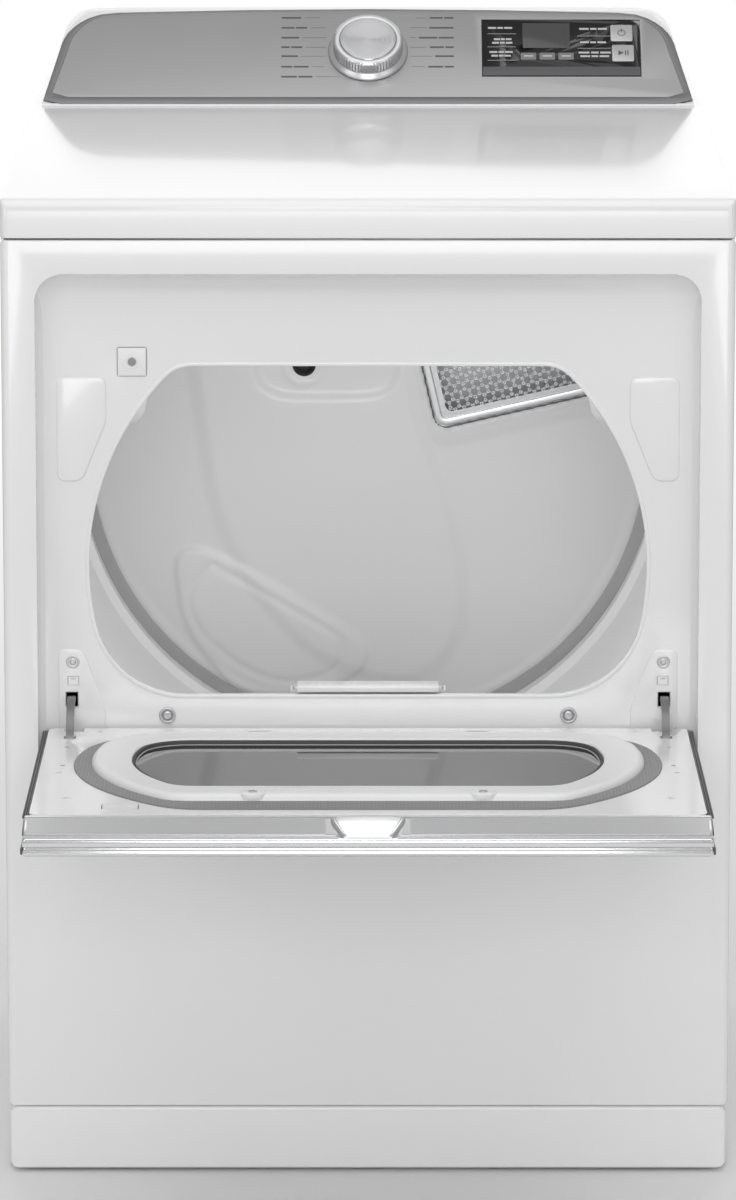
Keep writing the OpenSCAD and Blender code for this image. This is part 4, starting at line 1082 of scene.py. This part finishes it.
@dataclass
class Knob:
    """The cycle knob: a skirt, a knurled grip and a turned cap."""

    up: float = 77.0
    base: float = 2.4
    ridges: int = 64

    def build(self) -> None:
        """Makes the knob's pieces."""
        b, up = -self.base, self.up
        skirt = loft(FACE, [level(disc(r, 96, 0, up), b - h) for r, h in (
            (42.6, 0), (43, 0.6), (42.8, 1.6), (41.5, 3.2), (39.2, 4.6), (38.2, 5.6), (20, 5.8))])
        dress(skirt, "knob_skirt", SATIN, "knob", ["cycle_knob"])
        dress(self._grip(), "knob_grip", GRIP, "knob", angle=20)
        ring = band(FACE, disc(35.6, 96, 0, up), disc(30.6, 96, 0, up), b - 15, b - 20.4, 0.9)
        dress(ring, "knob_ring", SATIN, "knob")
        cap = loft(FACE, [level(disc(r, 96, 0, up), b - h) for r, h in (
            (30.5, 15), (30.5, 20), (30.0, 20.7), (29, 21), (22, 20.5), (14, 20.0), (6, 19.6),
            (0.4, 19.4))])
        dress(cap, "knob_cap", TURNED, "knob")
        stem = pad(FACE, disc(4, 32, 0, up), 13, b - 6, 0.5)
        dress(stem, "knob_stem", STEEL, "knob")

    def _grip(self) -> Thing:
        """The grip's ring of fine ridges.

        Returns:
            The ring.
        """
        n = self.ridges * 4
        rise = (0.0, 0.32, 0.5, 0.32)

        def knurl(r: float, depth: float, share: float) -> Loop:
            """One loop of ridges.

            Args:
                r: its radius between the ridges.
                depth: its depth.
                share: share of the ridges' full height.

            Returns:
                The loop.
            """
            out = []
            for i in range(n):
                a = 2 * math.pi * i / n
                rr = r + rise[i % 4] * share * 1.6
                out.append((rr * math.cos(a), depth, self.up + rr * math.sin(a)))
            return out

        b = -self.base
        return loft(FACE, [knurl(r, b - h, s) for r, h, s in (
            (36.8, 5.4, 0), (37.2, 6.2, 1), (37.0, 17.6, 1), (36.8, 18.6, 0.3), (35.8, 19.6, 0),
            (34.5, 19.9, 0), (33, 16, 0))])


# ---- Inside the drum ----


def inside_by(outline: Flat, x: np.ndarray, z: np.ndarray) -> np.ndarray:
    """How far inside an outline points lie, negative outside.

    Args:
        outline: the closed outline.
        x: the points' places across.
        z: the points' heights.

    Returns:
        The distances.
    """
    best = np.full(x.shape, 1e9)
    odd = np.zeros(x.shape, bool)
    for i, (bx, bz) in enumerate(outline):
        ax, az = outline[i - 1]
        dx, dz = bx - ax, bz - az
        t = np.clip(((x - ax) * dx + (z - az) * dz) / max(dx * dx + dz * dz, 1e-9), 0, 1)
        best = np.minimum(best, np.hypot(x - ax - t * dx, z - az - t * dz))
        if dz:
            odd ^= ((az > z) != (bz > z)) & (x < dx * (z - az) / dz + ax)
    return np.where(odd, best, -best)


def slope(distance: np.ndarray, soft: float) -> np.ndarray:
    """0 outside to 1 inside, over a soft edge."""
    t = np.clip(distance / soft + 0.5, 0, 1)
    return t * t * (3 - 2 * t)


@dataclass
class DrumInside:
    """What is seen inside the drum: the bulkhead's relief, the inlet grille, the lamp and the
    baffles."""

    radius: float = 315.0
    pitch: float = 3.0
    grille: tuple[float, float] = (150.0, 745.0)
    grille_size: tuple[float, float] = (176.0, 132.0)
    grille_turn: float = 13.0
    hole_pitch: float = 9.9
    hole: float = 7.9
    lamp: tuple[float, float] = (-70.0, 727.0)
    wall: float = 325.0

    def build(self) -> None:
        """Makes the drum's inside."""
        self._bulkhead()
        self._grille()
        self._lamp()
        self._baffles()

    def _turned(self, w: float, h: float, r: float, n: int = 8) -> Flat:
        """A round-cornered rectangle about the grille's middle, turned as the grille is.

        Args:
            w, h: its width and height.
            r: radius of its corners.
            n: steps in each corner.

        Returns:
            The outline.
        """
        c, s = math.cos(math.radians(self.grille_turn)), math.sin(math.radians(self.grille_turn))
        gx, gz = self.grille
        return [(gx + x * c - z * s, gz + x * s + z * c) for x, z in rounded(w, h, r, n=n)]

    def _height(self, x: np.ndarray, z: np.ndarray) -> np.ndarray:
        """How far the bulkhead's relief stands forward.

        Args:
            x, z: the points' places across and heights.

        Returns:
            The rise at each point, far below 0 inside the grille's hole.
        """
        drop = smooth([(-211, 508), (-192, 521), (-165, 514), (-129, 496), (-84, 470), (-39, 442),
                       (-8, 419), (-2, 398), (-24, 373), (-80, 356), (-137, 362), (-164, 383),
                       (-190, 416), (-206, 456)])
        inner = smooth([(-174, 502), (-160, 496), (-129.5, 480), (-84, 454), (-40, 428),
                        (-29, 412), (-40, 385), (-84, 373), (-129, 384), (-180, 424), (-197, 466)])
        middle = smooth([(-196, 800), (-188, 700), (-176, 610), (-160, 545), (-120, 470),
                         (-50, 400), (40, 372), (92, 410), (104, 470), (94, 545), (70, 620),
                         (52, 700), (44, 800), (-80, 830)])
        pocket = softened([(-124, 860), (-124, 716), (-104, 692), (14, 692), (34, 716),
                           (34, 860)], 26)
        gw, gh = self.grille_size
        frame_out, frame_in = self._turned(gw + 44, gh + 44, 30), self._turned(gw + 12, gh + 12, 16)
        hollow = self._turned(gw - 2, gh - 2, 10)
        out = 4.5 * slope(inside_by(middle, x, z), 20)
        out += 4.0 * slope(inside_by(drop, x, z), 7)
        out -= 1.8 * np.exp(-(inside_by(inner, x, z) / 3.0) ** 2)
        out += 0.8 * slope(inside_by(inner, x, z), 5)
        out -= 5.0 * slope(inside_by(pocket, x, z), 12)
        near = slope(inside_by(frame_out, x, z), 14)
        out = out * (1 - near) + 3.2 * near
        out += 2.2 * np.exp(-((inside_by(frame_in, x, z) + 3) / 3.0) ** 2)
        out -= 6.0 * slope(inside_by(frame_in, x, z) - 1, 4)
        lamp = np.hypot(x - self.lamp[0], z - self.lamp[1])
        out += 1.6 * np.exp(-((lamp - 21) / 3.0) ** 2)
        out += 1.5 * slope(np.hypot(x, z - DRUM_HEIGHT) - 296, 8)
        return np.where(inside_by(hollow, x, z) > 0, -99.0, out)

    def _bulkhead(self) -> None:
        """The rear bulkhead: a plate with a pressed relief inside the drum."""
        half = self.radius + 1
        count = int(2 * half / self.pitch)
        deselect()
        bpy.ops.mesh.primitive_grid_add(x_subdivisions=count, y_subdivisions=count, size=2 * half)
        face = bpy.context.object
        n = len(face.data.vertices)
        co = np.zeros(n * 3)
        face.data.vertices.foreach_get("co", co)
        co = co.reshape(-1, 3)
        x, z = co[:, 0], co[:, 1] + DRUM_HEIGHT
        rise = self._height(x, z)
        keep = (np.hypot(x, z - DRUM_HEIGHT) < self.radius) & (rise > -50)
        placed = np.stack([x, BULKHEAD_DEPTH - 1.4 - np.maximum(rise, -4), z, np.ones(n)], 1)
        placed = (np.array(CABINET) @ placed.T).T[:, :3]
        face.data.vertices.foreach_set("co", placed.ravel())
        with editing(face):
            bpy.ops.mesh.select_all(action="DESELECT")
            mesh = bmesh.from_edit_mesh(face.data)
            mesh.verts.ensure_lookup_table()
            for i in np.nonzero(~keep)[0]:
                mesh.verts[int(i)].select = True
            bmesh.update_edit_mesh(face.data)
            bpy.ops.mesh.delete(type="VERT")
            bpy.ops.mesh.select_all(action="SELECT")
            mesh = bmesh.from_edit_mesh(face.data)
            if sum(f.normal.y for f in mesh.faces) > 0:
                bpy.ops.mesh.flip_normals()
        applied(face, "SOLIDIFY", thickness=0.0012, offset=-1)
        plate = pad(CABINET, rounded(693, 668, 20, 0, 622.5), BULKHEAD_DEPTH + 1,
                    BULKHEAD_DEPTH, 0.3)
        plate = cut(plate, pad(CABINET, disc(self.radius - 4, 96, 0, DRUM_HEIGHT),
                               BULKHEAD_DEPTH + 9, BULKHEAD_DEPTH - 9, 0.1))
        dress(joined([face, plate]), "bulkhead_face", DRUM_PAINT, "cabinet", ["rear_bulkhead"],
              angle=60)

    def _grille(self) -> None:
        """The inlet grille: one six-sided cell, repeated, trimmed and given a rim."""
        p = self.hole_pitch
        row = p * math.sqrt(3) / 2
        gw, gh = self.grille_size
        deselect()
        bpy.ops.mesh.primitive_circle_add(vertices=6, radius=p / math.sqrt(3), fill_type="NGON")
        cell = bpy.context.object
        cell.data.transform(Matrix.Rotation(math.radians(30), 4, "Z"))
        with editing(cell):
            bpy.ops.mesh.select_all(action="SELECT")
            bpy.ops.mesh.inset(thickness=(p - self.hole) / 2)
            bpy.ops.mesh.delete(type="FACE")
        pick(cell)
        bpy.ops.object.duplicate()
        other = bpy.context.object
        other.data.transform(Matrix.Translation((p / 2, row, 0)))
        cell = joined([cell, other])
        for count, step in ((int(gw / p) + 1, (p, 0, 0)), (int(gh / row / 2) + 1, (0, 2 * row, 0))):
            applied(cell, "ARRAY", count=count, use_relative_offset=False, use_constant_offset=True,
                    constant_offset_displace=step, use_merge_vertices=True, merge_threshold=0.02)
        cell.data.transform(Matrix.Translation((-gw / 2, -gh / 2, 0)))
        with editing(cell):
            for k, sign, far in ((0, 1, gw / 2 - 5), (0, -1, gw / 2 - 5),
                                 (1, 1, gh / 2 - 5), (1, -1, gh / 2 - 5)):
                bpy.ops.mesh.select_all(action="SELECT")
                way = [0.0, 0.0, 0.0]
                way[k] = float(sign)
                bpy.ops.mesh.bisect(plane_co=[v * far for v in way], plane_no=way, clear_outer=True)
        c = math.radians(self.grille_turn)
        seat = Matrix.Translation((self.grille[0], BULKHEAD_DEPTH + 2.6, self.grille[1])) @ \
            Matrix.Rotation(-c, 4, "Y") @ Matrix.Rotation(math.radians(90), 4, "X")
        cell.data.transform(CABINET @ seat)
        applied(cell, "SOLIDIFY", thickness=0.0009, offset=0)
        edge = band(CABINET, self._turned(gw + 9, gh + 9, 13), self._turned(gw - 8, gh - 8, 6),
                    BULKHEAD_DEPTH + 3.2, BULKHEAD_DEPTH - 0.6, 1.2)
        dress(joined([cell, edge]), "inlet_grille_mesh", SATIN, "cabinet", ["inlet_grille"])
        line = band(CABINET, self._turned(gw + 14, gh + 14, 16),
                    self._turned(gw + 8.4, gh + 8.4, 12), BULKHEAD_DEPTH + 2.5,
                    BULKHEAD_DEPTH - 3.6, 0.5)
        dress(line, "inlet_grille_seal", DARK_PLASTIC, "cabinet")

    def _lamp(self) -> None:
        """The drum lamp's domed lens and its ring."""
        x, z = self.lamp
        d = BULKHEAD_DEPTH
        lens = loft(CABINET, [level(disc(r, 48, x, z), y) for r, y in (
            (15.5, d + 2), (13.2, d - 0.5), (12.6, d - 1.6), (10, d - 2.8), (6, d - 3.5),
            (0.5, d - 3.8))])
        dress(lens, "drum_lamp_lens", BLACK_GLASS, "cabinet", ["lamp_lens"])
        ring = band(CABINET, disc(17, 48, x, z), disc(13.4, 48, x, z), d + 1, d - 1.2, 0.8)
        dress(ring, "drum_lamp_ring", DRUM_PAINT, "cabinet")

    def _baffles(self) -> None:
        """Three ribbed baffles, one modelled and two copied round the drum."""
        near, far, steps = 94.5, 569.5, 56
        rows = []
        for k in range(steps + 1):
            y = near + (far - near) * k / steps
            up = min(1.0, min(y - near, far - y) / 34.0)
            up = math.sin(up * math.pi / 2) ** 0.8
            rib = 1.1 * (k % 2) * (1 if up > 0.98 else 0)
            section = []
            for q in (-1, 1):
                side = [(self.wall - 0.4, 44.0), (self.wall - 6 * up, 39.0),
                        (self.wall - 28 * up, 24.0), (self.wall - 50 * up, 14.5),
                        (self.wall - (57 - rib) * up, 8.0)]
                side = side if q < 0 else side[::-1]
                section += [(r, y, q * t) for r, t in side]
            rows.append(section)
        made = []
        for turn in (30, 150, 270):
            base = _frame((0, 0, DRUM_HEIGHT)) @ Matrix.Rotation(math.radians(-turn), 4, "Y")
            made.append(loft(base, rows))
        dress(joined(made), "ribbed_baffles", WHITE_PLASTIC, "drum", ["drum_baffles"], angle=50)


@dataclass
class LintTab:
    """The lint screen with its finger tab at the foot of the opening."""

    half: float = 58.22
    ridges: int = 15

    def build(self) -> None:
        """Makes the screen and the ridges on its tab."""
        screen = from_node("lint_screen")
        ease(screen, CABINET, lambda a, b, out: min(a.z, b.z) > 499 and max(a.y, b.y) < 62,
             1.2, 30, 2)
        dress(screen, "lint_screen_body", WHITE_PLASTIC, "screen", ["lint_screen"])
        first, step = -self.half, 2 * self.half / (self.ridges - 1)
        ridges = [bar(CABINET, (first + i * step - 1.6, 34, 504.4),
                      (first + i * step + 1.6 + (i % 3), 44, 506.3), 0.4)
                  for i in range(self.ridges)]
        dress(joined(ridges), "lint_tab_ridges", WHITE_PLASTIC, "screen")


# ---- Door ----


@dataclass
class Door:
    """The pull-down door: liner, window, felt, rail and trims. Its frame runs across, from its
    outside to its inside, and from its hinge to its rail."""

    opening: Opening = field(default_factory=Opening)
    pane: Opening = field(default_factory=lambda: Opening(93.5, 142.5, 233, 50, 30))
    felt: Opening = field(default_factory=lambda: Opening(149, 226, 291, 105, 60))
    base: float = DRUM_HEIGHT - HINGE_HEIGHT
    pane_base: float = 191.0
    window_up: float = 215.5
    inner: float = 13.0
    length: float = 428.0
    half: float = 330.5

    def build(self) -> None:
        """Makes the door's pieces."""
        self._panels()
        self._surround()
        self._rail()
        self._trims()
        self._details()

    def _ring(self, shape: Opening, grow: float, base: float) -> Flat:
        """An outline grown by a margin, in 160 directions from the window's middle."""
        return rays(shape.outline(grow, base), 160, 0, self.window_up)

    def _window(self, grow: float) -> Flat:
        """The window's outline grown by a margin."""
        return self._ring(self.pane, grow, self.pane_base)

    def _opening(self, grow: float) -> Flat:
        """The door opening's outline grown by a margin."""
        return self._ring(self.opening, grow, self.base)

    def _panels(self) -> None:
        """The liner with softer edges, and the felt round the moulding."""
        liner = from_node("door_liner")
        ease(liner, DOOR, lambda a, b, out: min(a.y, b.y) > 12.7 and
             (max(abs(a.x), abs(b.x)) > 318 or min(a.z, b.z) < 0), 1.4, 40)
        dress(liner, "door_liner_skin", WHITE, "door", ["door_liner"], angle=20)
        i = self.inner
        rows = [level(self._ring(self.felt, g, self.base), p) for g, p in (
            (0, i - 0.6), (-0.4, i + 0.9), (-2.4, i + 1.75))]
        rows += [level(self._opening(g), p) for g, p in (
            (-2, i + 1.85), (-5.2, i + 3.1), (-6.7, i + 2.6), (-6.7, i - 0.6))]
        dress(loft(DOOR, rows, hollow=True), "door_felt", FELT, "door", ["door_gasket"], angle=50)

    def _surround(self) -> None:
        """The white moulding round the window, its black seal and the pale line at the glass."""
        i = self.inner
        rows = [level(self._opening(g), p) for g, p in (
            (-6.6, i + 0.2), (-6.8, i + 4), (-7.6, i + 6.2), (-9.4, i + 8.2), (-12, i + 9.2),
            (-16, i + 9.6))]
        rows += [level(self._window(g), p) for g, p in (
            (14, i + 9.6), (4, i + 9.5), (1.8, i + 9.2), (0.5, i + 8.4), (0, i + 7.4),
            (0, i + 1), (2.8, i + 1), (2.8, i + 0.2))]
        dress(loft(DOOR, rows, hollow=True), "window_moulding", WHITE_PLASTIC, "door",
              ["window_surround"], angle=60)
        seal = band(DOOR, self._window(-0.1), self._window(-3.2), i + 3.5, i + 8.0, 1.2)
        dress(seal, "window_seal", RUBBER, "door")
        line = band(DOOR, self._window(-3.3), self._window(-4.6), i + 3.5, i + 4.1, 0.25)
        dress(line, "window_edge_line", PRINT_LIGHT, "door")

    def _rail(self) -> None:
        """The handle rail: a sloped satin band over two bright bars, with a finger pocket."""
        section = [(428.6, -20), (463.5, -20), (466.8, -19.5), (469.0, -18), (469.8, -15.8),
                   (469.2, -13.8), (467.3, -12.7), (467.0, -11.6), (468.6, -10.4), (469.7, -8.6),
                   (470, -5.6), (469.7, -3.4), (468.7, -2.1), (467.7, -1.4), (467.9, -0.7),
                   (469.2, -0.2), (469.2, 0.7), (467.6, 1.7), (452, 6.4), (436.5, 11.1),
                   (434.2, 12.2), (432.3, 12.9), (430.4, 12.8), (429, 12), (428.6, 11)]
        half = self.half - 2
        rows = []
        for x, d in ((-half, 2.4), (-half + 0.5, 1.2), (-half + 1.6, 0.3), (-half + 3, 0)):
            rows.append([(x, p, r) for r, p in inset(section, d)])
        rows += [[(-x, p, r) for x, p, r in row] for row in reversed(rows)]
        rail = loft(DOOR, rows)
        scoop = ((-7.0, 23, 437, 463.2), (-6.2, 25, 435.6, 464.6), (-3.0, 27.5, 434.8, 466),
                 (2, 31, 434.4, 476), (8, 35, 434.2, 476), (16, 38, 434, 476))
        cutter = loft(DOOR, [[(x, p, r) for x, r in rounded(2 * w, r1 - r0, 6, 0, (r0 + r1) / 2, 5)]
                             for p, w, r0, r1 in scoop])
        rail = cut(rail, cutter)
        dress(rail, "door_rail", CHROME, "door", ["door_handle"], angle=32)
        for sign in (-1, 1):
            ends = (40.5, self.half - 5.5)
            cover = loft(DOOR, [[(sign * x, p, r) for r, p in (
                (435.2, 11.2), (467.0, 1.6), (467.2, 2.0), (451.6, 6.85), (436.2, 11.6))]
                for x in ends])
            side = "left" if sign < 0 else "right"
            dress(cover, f"door_rail_band_{side}", SATIN, "door", angle=25)

    def _trims(self) -> None:
        """Dark ribbed strips along the door's sides and dark caps at the rail's ends."""
        strips = []
        for x, p in ((330.2, 11.9), (328.0, 12.3), (325.8, 12.5)):
            strips.append(bar(DOOR, (-x, 8.6, 1), (-x + 1.5, p, self.length - 1), 0.5))
        strips.append(bar(DOOR, (-330.0, 8.4, 0.5), (-324.6, 10.6, self.length - 0.5), 0.4))
        strips.append(bar(DOOR, (-self.half, -18.2, 429.5), (-self.half + 2.2, -11.8, 466.5), 0.8))
        dress(mirrored(joined(strips)), "door_edge_trims", DARK_PLASTIC, "door",
              ["door_side_trims"])

    def _details(self) -> None:
        """Screws in the moulding, and the slots and holes in the liner, their insides painted as
        shade.
        """
        screws = [Cabinet.screw(x, 367.5, 4.6, self.inner + 11.2, 1, DOOR) for x in (-111, 111)]
        dress(joined(screws), "moulding_screws", STEEL, "door", ["door_screws"])
        rings = [pad(DOOR, stadium(27, 20, x, 368.0), self.inner + 5, self.inner + 10.2, 1.6)
                 for x in (-111, 111)]
        dress(joined(rings), "moulding_screw_bosses", WHITE_PLASTIC, "door")
        i = self.inner
        # Grey pads flush with the liner: painted shade for the dark inside its holes and slots.
        hole_shades = [pad(DOOR, disc(r, 20, x, y), i - 0.4, i + 0.08, 0.05) for x, y, r in (
            (-302, 94, 2.6), (-302, 188, 2.6), (-304, 226, 2.2), (-292, 350, 2.8), (-271, 13, 2.2))]
        hole_shades += [pad(DOOR, rounded(20, 3.0, 1.2, -111, 11), i - 0.4, i + 0.1, 0.05),
                  pad(DOOR, rounded(11, 2.2, 1, -111, 15), i - 0.4, i + 0.1, 0.05)]
        dress(mirrored(joined(hole_shades)), "liner_hole_shade", GREY_PLASTIC_AND_SHADE, "door")
        lips = [band(DOOR, disc(r + 2.2, 24, x, y), disc(r, 24, x, y), i - 0.2, i + 0.45, 0.3)
                for x, y, r in ((-304, 226, 2.4), (-292, 350, 3.0))]
        lips.append(band(DOOR, rounded(30, 13, 3, -111, 12.5), rounded(26, 9.4, 2, -111, 12.5),
                         i - 0.2, i + 0.5, 0.3))
        dress(mirrored(joined(lips)), "liner_lips", WHITE, "door")


# ---- Back, feet and what is carried over ----


@dataclass
class Back:
    """The back's louvre hoods, stiffening beads and cover screws."""

    slots: int = 10

    def build(self) -> None:
        """Makes the back's pieces."""
        hoods = [pad(CABINET, stadium(95, 11, 218.5, 425.5 + 34 * i), 699.8, 704.6, 2.6)
                 for i in range(self.slots)]
        dress(joined(hoods), "louvre_hoods", GALVANISED, "cabinet")
        beads = [band(CABINET, rounded(w, h, 24, x, z), rounded(w - 12, h - 12, 19, x, z), 699.8,
                      701.4, 0.7) for x, z, w, h in ((-130, 650, 380, 520), (0, 250, 330, 120))]
        dress(joined(beads), "rear_panel_beads", GALVANISED, "cabinet")
        screws = [Cabinet.screw(x, z, 3.8, 711.6, 1) for x, z in ((-254, 372), (-206, 372))]
        dress(joined(screws), "terminal_cover_screws", STEEL, "cabinet")


CARRIED = {
    WHITE: ("side_panel_left", "side_panel_right", "door_outer_panel"),
    GALVANISED: ("rear_panel", "base_pan", "exhaust_duct", "heater_box", "terminal_cover"),
    DRUM_PAINT: ("front_bulkhead",),
    DRUM_PAINT_PAINTED_LIGHT: ("drum_shell",),
    WHITE_PLASTIC: ("lint_duct", "blower_housing", "blower_wheel", "drum_glides", "door_catch",
                    "door_strike"),
    GREY_PLASTIC_AND_SHADE: ("idler_pulley", "switch_plunger"),
    DARK_PLASTIC: ("foot_front_left", "foot_front_right", "foot_rear_left", "foot_rear_right"),
    STEEL: ("heater_coil", "roller_shafts", "hinge_brackets", "idler_spring", "motor_rotor",
            "idler_arm"),
    DARK_METAL: ("hinge_stays",),
    RUBBER: ("drive_belt", "roller_left", "roller_right"),
    PALE_FELT: ("drum_seals",),
    SMOKED: ("door_glass",),
    CAST: ("motor_housing",),
    BOARD: ("control_board",),
}


def carry_over() -> None:
    """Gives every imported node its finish."""
    finishes = {name: finish for finish, names in CARRIED.items() for name in names}
    for name, node in frame["nodes"].items():
        finish = finishes.get(name, WHITE)
        node.data.materials.clear()
        node.data.materials.append(finish.material())
        log.info("%s: %s", name, finish.name)


# ---- Studio ----


@dataclass
class Studio:
    """A pale floor, soft light and the camera."""

    camera_at: tuple[float, float, float] = (0.0, -6.955, 2.126)
    look_down: float = 10.61
    lens: float = 207.3
    shift: float = -0.2
    floor: float = 30.0
    fade: tuple[float, float] = (1.6, 4.2)
    ambient: float = 0.42

    def build(self) -> None:
        """Makes the floor, the lights and the camera."""
        self._floor()
        self._lights()
        self._camera()

    def _floor(self) -> None:
        """A plain pale floor."""
        deselect()
        bpy.ops.mesh.primitive_plane_add(size=self.floor)
        floor = bpy.context.object
        floor.name = "floor"
        mat = bpy.data.materials.new("pale floor")
        mat.use_nodes = True
        tree = mat.node_tree
        shader = tree.nodes["Principled BSDF"]
        shader.inputs["Base Color"].default_value = (0.9, 0.9, 0.9, 1)
        shader.inputs["Roughness"].default_value = 0.7
        glow, mix = tree.nodes.new("ShaderNodeEmission"), tree.nodes.new("ShaderNodeMixShader")
        tree.links.new(self._dimmed(tree), glow.inputs["Strength"])
        away, fade = tree.nodes.new("ShaderNodeVectorMath"), tree.nodes.new("ShaderNodeMapRange")
        away.operation = "LENGTH"
        fade.inputs["From Min"].default_value, fade.inputs["From Max"].default_value = self.fade
        tree.links.new(tree.nodes.new("ShaderNodeNewGeometry").outputs["Position"], away.inputs[0])
        tree.links.new(away.outputs["Value"], fade.inputs["Value"])
        tree.links.new(fade.outputs["Result"], mix.inputs[0])
        tree.links.new(shader.outputs[0], mix.inputs[1])
        tree.links.new(glow.outputs[0], mix.inputs[2])
        tree.links.new(mix.outputs[0], tree.nodes["Material Output"].inputs["Surface"])
        floor.data.materials.append(mat)

    def _dimmed(self, tree: bpy.types.NodeTree) -> bpy.types.NodeSocket:
        """A strength of 1 to the eye and less as light.

        Args:
            tree: the node tree that it is made in.

        Returns:
            The socket that gives it.
        """
        path, value = tree.nodes.new("ShaderNodeLightPath"), tree.nodes.new("ShaderNodeMapRange")
        value.inputs["To Min"].default_value = self.ambient
        value.inputs["To Max"].default_value = 1.0
        tree.links.new(path.outputs["Is Camera Ray"], value.inputs["Value"])
        return value.outputs["Result"]

    def _light(self, name: str, at: Sequence[float], aim: Sequence[float], size: float,
               power: float) -> None:
        """One square soft light.

        Args:
            name: its name.
            at: its place.
            aim: the place that it shines at.
            size: its side.
            power: its power, in watts.
        """
        data = bpy.data.lights.new(name, "AREA")
        data.size = size
        data.energy = power
        light = bpy.data.objects.new(name, data)
        bpy.context.scene.collection.objects.link(light)
        light.location = at
        light.rotation_mode = "QUATERNION"
        light.rotation_quaternion = (Vector(aim) - Vector(at)).to_track_quat("-Z", "Y")

    def _lights(self) -> None:
        """A white surround, dimmer as light than it looks, and six soft lights."""
        bpy.context.scene.view_settings.view_transform = "Standard"
        world = bpy.data.worlds.new("studio")
        bpy.context.scene.world = world
        world.use_nodes = True
        nodes, links = world.node_tree.nodes, world.node_tree.links
        back = nodes["Background"]
        back.inputs["Color"].default_value = (1, 1, 1, 1)
        links.new(self._dimmed(world.node_tree), back.inputs["Strength"])
        aim = (0, 0, 0.65)
        self._light("front", (0, -5.6, 1.75), aim, 2.2, 64)
        self._light("overhead", (0, -1.0, 3.6), aim, 3.4, 40)
        self._light("front left", (-3.4, -4.0, 2.6), aim, 2.2, 20)
        self._light("front right", (3.4, -4.0, 2.6), aim, 2.2, 14)
        self._light("rear", (0, 4.4, 2.6), aim, 5.0, 70)
        self._light("inside the drum", CABINET @ Vector((0, 150, 890)), CABINET @ Vector(
            (0, 640, 600)), 0.28, 0.95)

    def _camera(self) -> None:
        """The camera, level across and looking a little down."""
        data = bpy.data.cameras.new("camera")
        data.sensor_width = 36
        data.lens = self.lens
        data.shift_y = self.shift
        data.clip_end = 100
        camera = bpy.data.objects.new("camera", data)
        bpy.context.scene.collection.objects.link(camera)
        camera.location = self.camera_at
        camera.rotation_euler = (math.radians(90 - self.look_down), 0, 0)
        bpy.context.scene.camera = camera


def main() -> None:
    """Builds the sub-assemblies in order."""
    logging.basicConfig(level=logging.INFO, format="%(name)s: %(message)s")
    carry_over()
    for part in (Cabinet(), Console(), DrumInside(), LintTab(), Door(), Back(), Studio()):
        part.build()
        log.info("%s is done", type(part).__name__)
    deselect()


if __name__ == "__main__":
    main()
